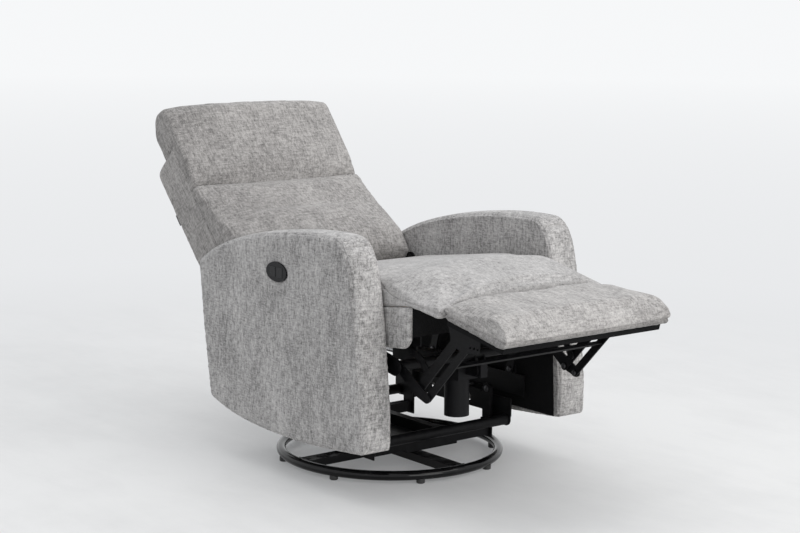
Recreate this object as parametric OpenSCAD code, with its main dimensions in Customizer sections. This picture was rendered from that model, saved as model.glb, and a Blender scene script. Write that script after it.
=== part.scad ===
// Power swivel glider recliner on a round tube ring, stored fully reclined with its footrest out.
// Front of the chair is -Y, up is +Z, and the swivel axis meets the floor at the origin.

/* [Arms] */
// Overall width across both arms
chair_w = 739; // [700:1:800]
// Thickness of one arm
arm_w = 91; // [80:1:110]
// Depth of an arm from its front face to its rear edge
arm_depth = 722; // [690:2:750]
// Height of an arm from its lowest point to its crown
arm_h = 525; // [505:1:545]
// Height of the arms' lowest point above the floor
arm_ground = 115; // [105:1:125]
// Radius of the upholstered arm edges
arm_edge_r = 14; // [8:1:18]
// Rise of the arm top over its width
arm_crown = 6; // [0:1:10]

/* [Ring base] */
// Outer diameter of the floor ring
ring_d = 605; // [580:1:640]
// Diameter of the ring tube
ring_tube_d = 25; // [22:0.5:28]
// Height of a floor glide
glide_h = 9; // [6:1:12]
// Width of a spoke tube
spoke_w = 40; // [30:1:48]
// Height of a spoke tube
spoke_h = 20; // [16:1:22]
// Radius of the swivel post
post_r = 20; // [16:0.5:24]

/* [Glider] */
// Half distance between the hanging pins, front to rear
hang_y = 165; // [150:1:180]
// Height of the upper hanging pins
hang_top_z = 184; // [176:1:190]
// Length of a hanging link between its pins
hang_len = 72; // [60:1:76]

/* [Seat travel] */
// Length of a seat link between its pins
seat_link_len = 128; // [120:1:134]
// Forward lean of the seat links in the stored pose, in degrees
seat_link_lean = 15; // [10:1:20]
// Width of the link bars
link_w = 24; // [20:1:26]

/* [Seat and back] */
// Thickness of the seat cushion over its springs
seat_cushion_t = 81; // [60:1:90]
// Rise of the cushion crowns
cushion_crown = 9; // [0:1:14]
// Gap between the back and each arm
back_play = 2.5; // [1:0.5:6]
// Extra width of the back above the arms, on each side
back_flare = 8; // [0:1:12]
// Thickness of the lower back at its rear panel
back_t = 205; // [190:1:215]

/* [Footrest] */
// How far each side of the footrest pad stands in from the arms
footrest_in = 11.5; // [8:0.5:28]
// Length of the footrest pad
footrest_len = 228; // [210:1:235]
// Thickness of the pad at its inner end
footrest_t = 52; // [40:1:56]
// Distance between the pins of an outer footrest link
outer_link_len = 203; // [195:1:210]

/* [Hidden] */

// Shared fits, walls and fillets
fit = 0.05;
touch = 0.3;
over = 2;
bar_lap = 0.01;
plate_t = 4;
plate_gap = 1;
head_gap = 4;
rivet_r = 5;
rivet_head_r = 8.5;
rivet_head_t = 1.6;
bolt_r = 4;
bolt_head_r = 7;
bolt_head_t = 4;
tube_wall = 2;
fine = 96;
ring_fine = 128;
tube_fine = 48;
mid_steps = 4;
edge_steps = 3;

// Colours as the photograph shows them
cloth = [0.66, 0.65, 0.64];
steel = [0.09, 0.09, 0.10];
gloss = [0.03, 0.03, 0.03];
wood = [0.72, 0.58, 0.40];
lining = [0.05, 0.05, 0.06];

// Layers of the mechanism across the chair, from the arms inwards
arm_in_x = chair_w / 2 - arm_w;
side_gap = 3.5;
side_t = 13;
plate_x = arm_in_x - side_gap - side_t - plate_t;
link_x = plate_x - plate_gap - plate_t;
inner_x = link_x - head_gap - plate_t;
outer_x = inner_x - plate_gap * 2 - plate_t;
control_x = outer_x - head_gap - plate_t;
hanger_x = control_x - plate_gap * 2 - plate_t;
back_w = (arm_in_x - back_play) * 2;
footrest_w = (arm_in_x - footrest_in) * 2;

// Ring, spokes and hub
ring_r = (ring_d - ring_tube_d) / 2;
ring_z = glide_h + ring_tube_d / 2 - touch;
spoke_z = ring_z - spoke_h / 2;
hub_wall = 12;
hub_r = post_r + hub_wall;
hub_plate = 150;
hub_plate_t = 5;
hub_bolt_share = 0.4;
hub_h = 15;
washer_t = 3;
hub_z = spoke_z + spoke_h;
washer_z = hub_z + hub_plate_t + hub_h;
glide_r = 11;
glide_count = 8;
glide_turn = 22.5;

// Swivel frame and stanchions
frame_z = washer_z + washer_t + touch;
frame_plate_t = 6;
frame_plate = 170;
rail_h = 28;
rail_t = 25;
swing_room = 82.5;
stanchion_x = arm_in_x - swing_room;
stanchion_w = 44;
stanchion_neck_share = 0.72;
stanchion_foot_share = 0.45;
rail_z = frame_z + frame_plate_t;
swing_x = stanchion_x + plate_t + head_gap;
carriage_x = swing_x + plate_t + head_gap;
hang_low_z = hang_top_z - hang_len;

// Carriage that hangs on the glide links
cross_y = 225;
cross_z = 110;
cross_r = 14;
carriage_top = 168;
carriage_leg = 48;
carriage_lobe_share = 0.7;
carriage_lobe_w = carriage_leg * carriage_lobe_share;
carriage_hole_share = 0.45;
deck_z = carriage_top;
base_rail_y = 244;
base_rail_rear = 240;
base_rail_top = 224;
seat_pin_z = 235;
seat_pin_front_y = -190;
seat_pin_rear_y = 130;
pin_lobe_r = 20;

// Seat side plates and pivots
seat_top_dy = -seat_link_len * sin(seat_link_lean);
seat_top_dz = seat_link_len * cos(seat_link_lean);
seat_top_z = seat_pin_z + seat_top_dz;
seat_top_front_y = seat_pin_front_y + seat_top_dy;
seat_top_rear_y = seat_pin_rear_y + seat_top_dy;
plate_w = 46;
back_pin_y = 240;
back_pin_z = 478;
back_pin = [back_pin_y, back_pin_z];
back_lobe_w = 36;
plate_knee_y = 234;
plate_knee_z = 372;
plate_knee = [plate_knee_y, plate_knee_z];
plate_holes = 4;

// Footrest linkage pivots: drive axis, elbows and footrest ends
drive_pin_y = -346.4;
drive_pin_z = 334.4;
drive_pin = [drive_pin_y, drive_pin_z];
elbow_y = -415;
elbow_z = 285;
elbow = [elbow_y, elbow_z];
elbow_step_y = -38;
elbow_step_z = -12;
elbow_step = [elbow_step_y, elbow_step_z];
outer_lean = 133.6;
foot_pin = [elbow[0] + outer_link_len * cos(outer_lean), elbow[1] + outer_link_len * sin(outer_lean)];
elbow2 = [elbow[0] + elbow_step[0], elbow[1] + elbow_step[1]];
foot_pin2 = [foot_pin[0] + elbow_step[0], foot_pin[1] + elbow_step[1]];
parallel_w = 20;
tube_r = 13;
journal_r = 9;
control_share = 0.22;
control_pin = [elbow[0] + (foot_pin[0] - elbow[0]) * control_share,
    elbow[1] + (foot_pin[1] - elbow[1]) * control_share];
control_step_y = 69.9;
control_step_z = 58.4;
control_step = [control_step_y, control_step_z];
hanger_pin = control_pin + control_step;
control_slack = 1.2;
control_hole_r = rivet_r + control_slack;
control_bow = -12;
control_w = 19;
hanger_w = 26;
crossbar_share = 0.62;
crossbar_t = 3;
crossbar_w = 18;

// Actuator between the torque tube's crank and the rear rail
crank_len = 42;
crank_turn = 250;
crank_pin = [drive_pin[0] + crank_len * cos(crank_turn), drive_pin[1] + crank_len * sin(crank_turn)];
rod_pin_y = 120;
rod_pin_z = 290;
rod_pin = [rod_pin_y, rod_pin_z];
crank_gap = 12;
crank_t = 5;
crank_eye_r = 12;
crank_slack = 7.5;
crank_hole_r = rivet_r + crank_slack;
tube_len = 330;
tube_w = 34;
tube_h = 40;
rod_r = 11;
motor_r = 32;
motor_h = 100;
motor_y = 88;
gear_l = 96;
gear_w = 72;
gear_h = 62;
boss_h = 34;
rod_in = 110;
motor_neck_r = 13;
motor_neck = 4;
rod_eye_r = 14;
mount_w = 60;

// Seat box
box_front_y = -418;
box_rear_y = 214;
side_top_front_z = 492;
side_top_rear_z = 408;
side_low_front_z = 388;
side_low_rear_z = 340;
side_corner_r = 34;
side_steps = 6;
rail_board_t = 20;
spring_r = 2;
spring_count = 5;
spring_turns = 7;
spring_drop = 16;
nose_y = -534;
nose_z = 530;
nose_low_z = 477;
crown_y = -366;
crease_z = 482;
seat_front_r = 14;
seat_tuck_r = 60;
seat_heel_r = 10;
seat_rear_r = 24;
seat_crown_r = 150;
seat_rear_over = 6;
seat_edge_r = 16;
seat_pull_share = 0.012;
outline_steps = 5;
seam_gap = 2.4;
lining_t = 1.2;

// Back, in its own axes: s up the back from the hinge, t towards the front
back_lean = 48.5;
back_foot_s = 58;
back_lower_s = 490;
back_seam_s = 346;
back_top_s = 608;
frame_tube = 25;
shell_t = 91;
shell_front_t = shell_t - back_t;
frame_drop = 60;
frame_top_s = back_top_s - frame_drop;
cross_rail_w = 30;
back_edge_r = 14;
back_fold_r = 26;
cross_seam_r = 9;
flare_from_s = 150;
back_seam_r = 6;
back_pull_share = 0.007;
bracket_drop = -2;
bracket_long = 180;
frame_front_t = shell_front_t + frame_tube;
frame_mid_t = shell_front_t + frame_tube / 2;
tag_w = 26;
tag_h = 34;
tag_t = 1.5;
tag_s = 322;
tag_in = 14;
tag_seat = 0.6;

// Footrest
pad_slope = 15.9;
pad_end_t = 30;
board_t = 14;
board_in = 14;
bracket_len = 96;
bracket_h = 30;
bracket_reach_share = 0.56;
bracket_hole_pitch = 12.6;
bracket_hole_start = 6;
bracket_hole_rise = 4;
bracket_holes = 3;
pad_top_shares = [[0, -0.026, 0.06], [0.82, 0.093, 0.22], [1, 0.03, 0.08], [1.013, -0.053, 0.035]];
pad_low_share = 0.974;
pad_low_s = footrest_len * pad_low_share;
pad_outer_r = 8;
pad_heel_r = 16;
pad_heel_in = 12;
pad_edge_r = 9;
pad_pull_share = 0.012;

// Controls on the outer face of the right arm
bezel_y = -6;
bezel_z = 531;
bezel = [bezel_y, bezel_z];
bezel_w = 88;
bezel_h = 50;
bezel_t = 3.5;
bezel_depth = 12;
bezel_lip = 5;
bezel_gap = 1;
button_w = 24;
button_h = 26;
button_gap = 6;
button_travel = 1.5;

function unit(v) = v / norm(v);
function rot2(v, a) = [v[0] * cos(a) - v[1] * sin(a), v[0] * sin(a) + v[1] * cos(a)];

// Points of a polygon whose corners [y, z, radius] are rounded with arcs of n steps
function arc_points(a, p, b, r, n) =
    let (u = unit([a[0] - p[0], a[1] - p[1]]), v = unit([b[0] - p[0], b[1] - p[1]]))
    let (half = acos(max(-1, min(1, u * v))) / 2, run = r / tan(half))
    let (c = [p[0], p[1]] + unit(u + v) * r / sin(half))
    let (s = [p[0], p[1]] + u * run - c, e = [p[0], p[1]] + v * run - c)
    let (a0 = atan2(s[1], s[0]), raw = atan2(e[1], e[0]) - a0)
    let (turn = raw > 180 ? raw - 360 : raw < -180 ? raw + 360 : raw)
    [for (k = [0:n]) c + r * [cos(a0 + turn * k / n), sin(a0 + turn * k / n)]];
function rounded(pts, n) = [for (i = [0:len(pts) - 1])
    let (a = pts[(i + len(pts) - 1) % len(pts)], b = pts[(i + 1) % len(pts)])
    each pts[i][2] > 0 ? arc_points(a, pts[i], b, pts[i][2], n) : [[pts[i][0], pts[i][1]]]];
function bezier(a, b, c, d, n) = [for (k = [0:n]) let (t = k / n)
    a * pow(1 - t, 3) + b * 3 * t * pow(1 - t, 2) + c * 3 * t * t * (1 - t) + d * pow(t, 3)];

// Outward normals of a counter-clockwise outline
function normals(p) = [for (i = [0:len(p) - 1])
    let (d = unit(p[(i + 1) % len(p)] - p[(i + len(p) - 1) % len(p)])) [d[1], -d[0]]];

// Half stations across a padded form: [x, inset] from the middle to the rounded end
function stations(w, r, mid, n) = concat(
    [for (k = [1:mid]) [(w - r) * k / mid, 0]],
    [for (k = [1:n]) [w - r + r * sin(90 * k / n), r * (1 - cos(90 * k / n))]]);

// Padded form: an outline carried across x with rounded ends, a crown and drawn-in sides
module padded(outline, w, r, crown, dir, pull, pull_dir, flare = 0, flare_from = 0, flare_to = 1,
        mid = mid_steps, n = edge_steps) {
    nm = normals(outline);
    half = stations(w, r, mid, n);
    st = concat([for (k = [len(half) - 1:-1:0]) [-half[k][0], half[k][1]]], [[0, 0]], half);
    rise = [for (q = outline) q * dir];
    rise_mid = (min(rise) + max(rise)) / 2;
    along = [for (q = outline) q * pull_dir];
    lo = min(along);
    span = max(along) - lo;
    pts = [for (s = st) for (i = [0:len(outline) - 1])
        let (lift = rise[i] < rise_mid ? 0 : crown * (1 - pow(s[0] / w, 2)) * pow(max(0, nm[i] * dir), 2))
        let (q = outline[i] + nm[i] * (lift - s[1]), t = (along[i] - lo) / span)
        let (wide = 1 + flare / w * max(0, min(1, (along[i] - flare_from) / (flare_to - flare_from))))
        [s[0] * wide * (1 - pull * 4 * t * (1 - t)), q[0], q[1]]];
    c = len(outline);
    last = (len(st) - 1) * c;
    sides = [for (j = [0:len(st) - 2]) for (i = [0:c - 1])
        let (a = j * c + i, b = j * c + (i + 1) % c)
        each [[a, b, b + c], [a, b + c, a + c]]];
    low = [pts_mean(pts, 0, c)];
    high = [pts_mean(pts, last, c)];
    polyhedron(concat(pts, low, high), concat(sides,
        [for (i = [0:c - 1]) [len(pts), (i + 1) % c, i]],
        [for (i = [0:c - 1]) [len(pts) + 1, last + i, last + (i + 1) % c]]), convexity = 6);
}
function pts_mean(pts, from, c) = [for (k = [0:2]) total([for (i = [0:c - 1]) pts[from + i][k]], c - 1) / c];
function total(v, i) = i < 0 ? 0 : v[i] + total(v, i - 1);

// Flat bar with round ends between two pins, in the side view
module bar2d(p, q, w) {
    d = q - p;
    translate(p) circle(d = w, $fn = fine);
    translate(q) circle(d = w, $fn = fine);
    translate(p) rotate(atan2(d[1], d[0])) translate([0, bar_lap - w / 2])
        square([norm(d), w - bar_lap * 2]);
}

// Extrudes a side view towards +X, from x to x + t
module side(x, t) {
    translate([x, 0, 0]) rotate([90, 0, 90]) linear_extrude(height = t) children();
}

// Round bar along X
module xrod(p, r, x0, x1) {
    translate([x0, p[0], p[1]]) rotate([0, 90, 0]) cylinder(r = r, h = x1 - x0, $fn = fine);
}

// Rivet from a plate inwards through the next plate, with its head beyond it
module rivet_in(p, from_x, through_x) {
    xrod(p, rivet_r, through_x - touch - rivet_head_t, from_x);
    xrod(p, rivet_head_r, through_x - touch - rivet_head_t, through_x - touch);
}
module rivet_out(p, from_x, through_x) {
    xrod(p, rivet_r, from_x, through_x + touch + rivet_head_t);
    xrod(p, rivet_head_r, through_x + touch, through_x + touch + rivet_head_t);
}
module hole2d(p, r = rivet_r + fit) {
    translate(p) circle(r = r, $fn = fine);
}
module both() {
    children();
    mirror([1, 0, 0]) children();
}

// Floor ring of round tube
module base_ring() color(gloss) translate([0, 0, ring_z]) rotate_extrude($fn = ring_fine)
    translate([ring_r, 0]) circle(d = ring_tube_d, $fn = tube_fine);

// Cross of flat-sided spokes, coped to the ring
module base_spokes() color(gloss) difference() {
    translate([0, 0, spoke_z]) linear_extrude(height = spoke_h) union() {
        square([ring_r * 2, spoke_w], center = true);
        square([spoke_w, ring_r * 2], center = true);
    }
    translate([0, 0, ring_z]) rotate_extrude($fn = ring_fine) translate([ring_r, 0])
        circle(d = ring_tube_d + touch, $fn = tube_fine);
    translate([0, 0, spoke_z - over]) difference() {
        cylinder(r = ring_r + ring_tube_d, h = spoke_h + over * 2, $fn = fine);
        translate([0, 0, -over]) cylinder(r = ring_r, h = spoke_h + over * 4, $fn = fine);
    }
}

// Plastic glides under the ring
module floor_glides() color(lining) difference() {
    for (k = [0:glide_count - 1]) rotate(glide_turn + k * 360 / glide_count) translate([ring_r, 0, 0]) {
        cylinder(r1 = glide_r - over, r2 = glide_r, h = over, $fn = fine);
        translate([0, 0, over]) cylinder(r = glide_r, h = glide_h + over, $fn = fine);
    }
    translate([0, 0, ring_z]) rotate_extrude($fn = ring_fine) translate([ring_r, 0])
        circle(d = ring_tube_d + touch * 2, $fn = tube_fine);
}

// Hub plate with the swivel bearing housing
module hub_housing() color(steel) translate([0, 0, hub_z]) difference() {
    union() {
        linear_extrude(height = hub_plate_t) square(hub_plate, center = true);
        cylinder(r = hub_r, h = hub_plate_t + hub_h, $fn = fine);
        for (x = [-1, 1], y = [-1, 1]) translate([x, y, 0] * hub_plate * hub_bolt_share)
            cylinder(r = bolt_head_r, h = hub_plate_t + bolt_head_t, $fn = fine);
    }
    translate([0, 0, -over]) cylinder(r = post_r + fit, h = hub_plate_t + hub_h + over * 2, $fn = fine);
}

// Low-friction washer on the housing
module thrust_washer() color([0.8, 0.8, 0.78]) translate([0, 0, washer_z]) difference() {
    cylinder(r = hub_r, h = washer_t, $fn = fine);
    translate([0, 0, -over]) cylinder(r = post_r + fit, h = washer_t + over * 2, $fn = fine);
}

// Post that turns in the housing
module swivel_post() color(steel)
    translate([0, 0, hub_z + touch]) cylinder(r = post_r, h = frame_z - hub_z - touch, $fn = fine);

// Lower frame: centre plate, two cross rails and two side rails
module swivel_frame() color(steel) {
    translate([0, 0, frame_z]) linear_extrude(height = frame_plate_t)
        square([frame_plate, hang_y * 2 + rail_t], center = true);
    for (y = [-1, 1]) translate([0, y * hang_y, rail_z]) linear_extrude(height = rail_h)
        square([stanchion_x * 2, rail_t], center = true);
    for (x = [-1, 1]) translate([x * (frame_plate - rail_t) / 2, 0, rail_z]) linear_extrude(height = rail_h)
        square([rail_t, hang_y * 2 - rail_t], center = true);
}

// Four upright plates with holes for the hanging pins
module stanchions() color(steel) both() for (y = [-hang_y, hang_y]) side(stanchion_x, plate_t) difference() {
    union() {
        bar2d([y, hang_top_z], [y, rail_z + stanchion_w / 2], stanchion_w * stanchion_neck_share);
        translate([y - stanchion_w / 2, frame_z])
            square([stanchion_w, rail_h + stanchion_w * stanchion_foot_share]);
    }
    hole2d([y, hang_top_z]);
}

// Upper pins, riveted in the stanchions
module hanging_pins() color(steel) both() for (y = [-hang_y, hang_y]) {
    rivet_out([y, hang_top_z], stanchion_x, swing_x + plate_t);
    xrod([y, hang_top_z], rivet_head_r, stanchion_x - rivet_head_t, stanchion_x);
}

// Hanging links, as a pair
module glide_pair(y) both() side(swing_x, plate_t) difference() {
    bar2d([y, hang_top_z], [y, hang_low_z], link_w);
    hole2d([y, hang_top_z]);
    hole2d([y, hang_low_z]);
}
module glide_links_front() color(steel) glide_pair(-hang_y);
module glide_links_rear() color(steel) glide_pair(hang_y);

// Side plate of the carriage, with lightening holes
module carriage_side() {
    side(carriage_x, plate_t) difference() {
        union() {
            translate([-base_rail_y, carriage_top - carriage_leg]) square([base_rail_y * 2, carriage_leg]);
            for (y = [-1, 1]) {
                bar2d([y * hang_y, hang_low_z], [y * hang_y, carriage_top - carriage_leg], carriage_lobe_w);
                bar2d([y * cross_y, cross_z], [y * cross_y, carriage_top - carriage_leg], carriage_lobe_w);
                bar2d([y * cross_y, cross_z], [y * hang_y, hang_low_z], carriage_lobe_w);
            }
        }
        for (y = [-1, 1]) hole2d([y * hang_y, hang_low_z]);
        for (k = [-1:1]) translate([k * hang_y * carriage_hole_share, carriage_top - carriage_leg / 2])
            circle(d = carriage_leg * carriage_hole_share, $fn = fine);
    }
}
module carriage_side_left() color(steel) carriage_side();
module carriage_side_right() color(steel) mirror([1, 0, 0]) carriage_side();

// Lower pins, riveted in the carriage sides
module carriage_pins() color(steel) both() for (y = [-hang_y, hang_y]) {
    rivet_in([y, hang_low_z], carriage_x + plate_t, swing_x);
    xrod([y, hang_low_z], rivet_head_r, carriage_x + plate_t, carriage_x + plate_t + rivet_head_t);
}

// Round tubes that tie the carriage sides together
module carriage_cross_tubes() color(steel) for (y = [-1, 1]) difference() {
    xrod([y * cross_y, cross_z], cross_r, -carriage_x, carriage_x);
    xrod([y * cross_y, cross_z], cross_r - tube_wall, -carriage_x - over, carriage_x + over);
}

// Angle rail along each side, with the lower pins of the seat links
module base_rail() {
    side(plate_x, plate_t) {
        translate([-base_rail_y, deck_z]) square([base_rail_y + base_rail_rear, base_rail_top - deck_z]);
        for (y = [seat_pin_front_y, seat_pin_rear_y])
            bar2d([y, seat_pin_z], [y, base_rail_top - pin_lobe_r], pin_lobe_r * 2);
    }
    translate([carriage_x, -hang_y + stanchion_w, deck_z])
        cube([plate_x - carriage_x, hang_y - stanchion_w + base_rail_rear, plate_t]);
    for (y = [seat_pin_front_y, seat_pin_rear_y]) rivet_in([y, seat_pin_z], plate_x, link_x);
}
module base_rail_left() color(steel) base_rail();
module base_rail_right() color(steel) mirror([1, 0, 0]) base_rail();

// Blocks between the rails and the arms
module arm_brackets() color(steel) both() for (y = [-hang_y, hang_y])
    translate([plate_x + plate_t, y - stanchion_w / 2, deck_z])
        cube([arm_in_x - lining_t - plate_x - plate_t, stanchion_w, base_rail_top - deck_z]);

// Side view of an arm, as shares of its depth and height
arm_front_y = -362;
arm_mid_steps = 2;
arm_back_share = [1.0, 0.752];
arm_top_shares = [[0.86, 0.912], [0.46, 1.01], [0.176, 1.002]];
arm_nose_shares = [[0.144, 0.996], [0.069, 0.952], [0.053, 0.81], [0.0055, 0.219]];
arm_low_shares = [[0.006, 0.035], [0.36, -0.02], [0.723, -0.029], [0.929, 0.08]];
arm_heel_share = [0.972, 0.44];
arm_low_steps = 14;
arm_top_steps = 16;
arm_nose_steps = 9;
function arm_at(s) = [arm_front_y + s[0] * arm_depth, arm_ground + s[1] * arm_h];
function arm_outline() = concat(
    bezier(arm_at(arm_low_shares[0]), arm_at(arm_low_shares[1]), arm_at(arm_low_shares[2]),
        arm_at(arm_low_shares[3]), arm_low_steps),
    [arm_at(arm_heel_share)],
    bezier(arm_at(arm_back_share), arm_at(arm_top_shares[0]), arm_at(arm_top_shares[1]),
        arm_at(arm_top_shares[2]), arm_top_steps),
    bezier(arm_at(arm_nose_shares[0]), arm_at(arm_nose_shares[1]), arm_at(arm_nose_shares[2]),
        arm_at(arm_nose_shares[3]), arm_nose_steps));

// Upholstered arm
module arm_body() {
    translate([arm_in_x + arm_w / 2, 0, 0])
        padded(arm_outline(), arm_w / 2, arm_edge_r, arm_crown, [0, 1], 0, [1, 0],
            mid = arm_mid_steps, n = mid_steps);
}
module arm_left() color(cloth) arm_body();
module arm_right() color(cloth) difference() {
    mirror([1, 0, 0]) arm_body();
    bezel_socket();
}
module bezel_socket() {
    at_bezel() translate([0, 0, -bezel_depth - touch])
        linear_extrude(height = bezel_depth + touch + over) bezel2d((bezel_gap - bezel_lip) * 2);
}

// Black lining on the inner face of an arm
liner_shares = [[0.03, 0.03], [0.45, 0.03], [0.90, 0.12], [0.93, 0.40], [0.05, 0.56]];
module liner() side(arm_in_x - lining_t, lining_t) polygon([for (q = liner_shares) arm_at(q)]);
module arm_liner_left() color(lining) liner();
module arm_liner_right() color(lining) mirror([1, 0, 0]) liner();

// Oval switch plate on the outer face of the right arm
module bezel2d(grow = 0) {
    scale([bezel_w / bezel_h, 1]) circle(d = bezel_h + grow, $fn = fine);
}
module at_bezel() {
    translate([-chair_w / 2, bezel[0], bezel[1]]) rotate([90, 0, -90]) children();
}
module button2d(gap) {
    translate([-button_w / 2 - gap, -button_h / 2 - gap])
        square([button_w + gap * 2, button_h + gap * 2]);
}
module control_bezel() color(gloss) at_bezel() difference() {
    union() {
        linear_extrude(height = bezel_t) bezel2d();
        translate([0, 0, -bezel_depth]) linear_extrude(height = bezel_depth) bezel2d(-bezel_lip * 2);
    }
    for (k = [-1, 1]) translate([k * (button_w + button_gap) / 2, 0, -button_travel - touch - over])
        linear_extrude(height = bezel_t + bezel_depth) button2d(touch);
}
module button(k) at_bezel() translate([k * (button_w + button_gap) / 2, 0, -over])
    linear_extrude(height = bezel_t + over + button_travel / 2) button2d(0);
module button_recline() color(gloss) button(-1);
module button_upright() color(gloss) button(1);

// Links that carry the seat on the rails
module seat_link_pair(y) both() side(link_x, plate_t) difference() {
    bar2d([y, seat_pin_z], [y + seat_top_dy, seat_top_z], link_w);
    hole2d([y, seat_pin_z]);
    hole2d([y + seat_top_dy, seat_top_z]);
}
module seat_links_front() color(steel) seat_link_pair(seat_pin_front_y);
module seat_links_rear() color(steel) seat_link_pair(seat_pin_rear_y);

// Steel side plate of the seat with its pivots
module seat_plate() {
    side(plate_x, plate_t) difference() {
        union() {
            bar2d(drive_pin, [seat_top_front_y, seat_top_z], plate_w);
            bar2d([seat_top_front_y, seat_top_z], [seat_top_rear_y, seat_top_z], plate_w);
            bar2d([seat_top_rear_y, seat_top_z], plate_knee, plate_w);
            bar2d(plate_knee, back_pin, back_lobe_w);
        }
        hole2d(drive_pin, journal_r + fit);
        for (k = [1:plate_holes])
            hole2d([seat_top_front_y + (seat_top_rear_y - seat_top_front_y) * k / (plate_holes + 1),
                seat_top_z], bolt_head_r);
    }
    rivet_in([seat_top_front_y, seat_top_z], plate_x, link_x);
    rivet_in([seat_top_rear_y, seat_top_z], plate_x, link_x);
    rivet_in(back_pin, plate_x, link_x);
}
module seat_plate_left() color(steel) seat_plate();
module seat_plate_right() color(steel) mirror([1, 0, 0]) seat_plate();

// Upholstered side board of the seat box
function seat_side_outline() = rounded([
    [box_front_y, side_low_front_z, side_corner_r], [box_rear_y, side_low_rear_z, side_corner_r / 2],
    [box_rear_y, side_top_rear_z, 0], [box_front_y, side_top_front_z, 0]], side_steps);
module seat_side() side(plate_x + plate_t, side_t) polygon(seat_side_outline());
module seat_side_left() color(cloth) seat_side();
module seat_side_right() color(cloth) mirror([1, 0, 0]) seat_side();

// Cross boards of the seat box
function side_low(y) = side_low_front_z
    + (y - box_front_y) * (side_low_rear_z - side_low_front_z) / (box_rear_y - box_front_y);
function side_top(y) = side_top_front_z
    + (y - box_front_y) * (side_top_rear_z - side_top_front_z) / (box_rear_y - box_front_y);
rail_top_gap = 4;
front_rail_rise = 26;
rear_rail_rise = 12;
front_rail_y = box_front_y + side_t;
front_rail_low = side_low_front_z + front_rail_rise;
rear_rail_low = side_low_rear_z + rear_rail_rise;
module cross_board(y, low, top)
    translate([-plate_x - plate_t, y, low]) cube([(plate_x + plate_t) * 2, rail_board_t, top - low]);
module seat_front_rail() color(wood)
    cross_board(front_rail_y, front_rail_low, side_top(front_rail_y + rail_board_t) - rail_top_gap);
module seat_rear_rail() color(wood) difference() {
    cross_board(box_rear_y - rail_board_t * 2, rear_rail_low,
        side_top(box_rear_y - rail_board_t) - rail_top_gap);
    both() translate([plate_x - head_gap, box_rear_y - rail_board_t * 2 - over, rear_rail_low - over])
        cube([plate_t + head_gap + over, rail_board_t + over * 2, side_top_rear_z - rear_rail_low]);
}

// Sinuous wires between the cross boards, as one bent band each
spring_front_y = front_rail_y + rail_board_t + touch;
spring_rear_y = box_rear_y - rail_board_t * 2 - touch;
spring_z0 = side_top(front_rail_y) - spring_drop;
spring_z1 = side_top(spring_rear_y) - spring_drop;
spring_pitch_share = 0.341;
spring_pitch = plate_x * spring_pitch_share;
spring_half = 22;
spring_steps = 6;
spring_sides = 5;
function spring_path() = [for (k = [0:spring_turns * spring_steps])
    let (t = k / (spring_turns * spring_steps))
    [spring_half * sin(t * spring_turns * 360), spring_front_y + t * (spring_rear_y - spring_front_y),
        spring_z0 + t * (spring_z1 - spring_z0)]];
module wire(path, r, sides) {
    n = len(path);
    pts = [for (i = [0:n - 1])
        let (d = unit(path[min(n - 1, i + 1)] - path[max(0, i - 1)]), a = unit(cross(d, [0, 0, 1])))
        let (b = cross(a, d)) for (k = [0:sides - 1])
        path[i] + r * (a * cos(k * 360 / sides) + b * sin(k * 360 / sides))];
    polyhedron(pts, concat([for (k = [1:sides - 2]) [0, k, k + 1]],
        [for (i = [0:n - 2]) for (k = [0:sides - 1])
            let (p = i * sides + k, q = i * sides + (k + 1) % sides)
            each [[p, p + sides, q], [q, p + sides, q + sides]]],
        [for (k = [1:sides - 2]) [(n - 1) * sides, (n - 1) * sides + k + 1, (n - 1) * sides + k]]),
        convexity = 10);
}
module seat_springs() color(steel) for (k = [0:spring_count - 1])
    translate([(k - (spring_count - 1) / 2) * spring_pitch, 0, 0])
        wire(spring_path(), spring_r, spring_sides);

// Seat cushion with the nose that meets the footrest pad
crown_z = side_top(crown_y) + seat_cushion_t;
function seat_outline() = rounded([
    [nose_y + seam_gap / 2, nose_low_z, seat_front_r],
    [box_front_y + over, side_top_front_z + touch, seat_tuck_r],
    [box_rear_y, side_top_rear_z + touch, seat_heel_r],
    [box_rear_y + seat_rear_over, crease_z, seat_rear_r],
    [crown_y, crown_z, seat_crown_r],
    [nose_y + seam_gap / 2, nose_z, seat_front_r]], outline_steps);
module seat_cushion() color(cloth) padded(seat_outline(), plate_x + plate_t + side_t, seat_edge_r,
    cushion_crown, [0, 1], seat_pull_share, [1, 0], n = mid_steps);

// Black cloth that closes the seat box under the nose
module front_lining() color(lining)
    translate([-plate_x - plate_t, front_rail_y - lining_t, front_rail_low])
        cube([(plate_x + plate_t) * 2, lining_t, side_top_front_z - front_rail_low - rail_top_gap]);

// Brackets under the front board that carry the control links
module control_hangers() color(steel) both() {
    side(hanger_x, plate_t) difference() {
        union() {
            bar2d(hanger_pin, [hanger_pin[0], front_rail_low - hanger_w / 2], hanger_w);
            translate([front_rail_y, front_rail_low - hanger_w])
                square([hanger_pin[0] + hanger_w / 2 - front_rail_y, hanger_w]);
        }
    }
    rivet_out(hanger_pin, hanger_x + plate_t, control_x + plate_t);
}

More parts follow.
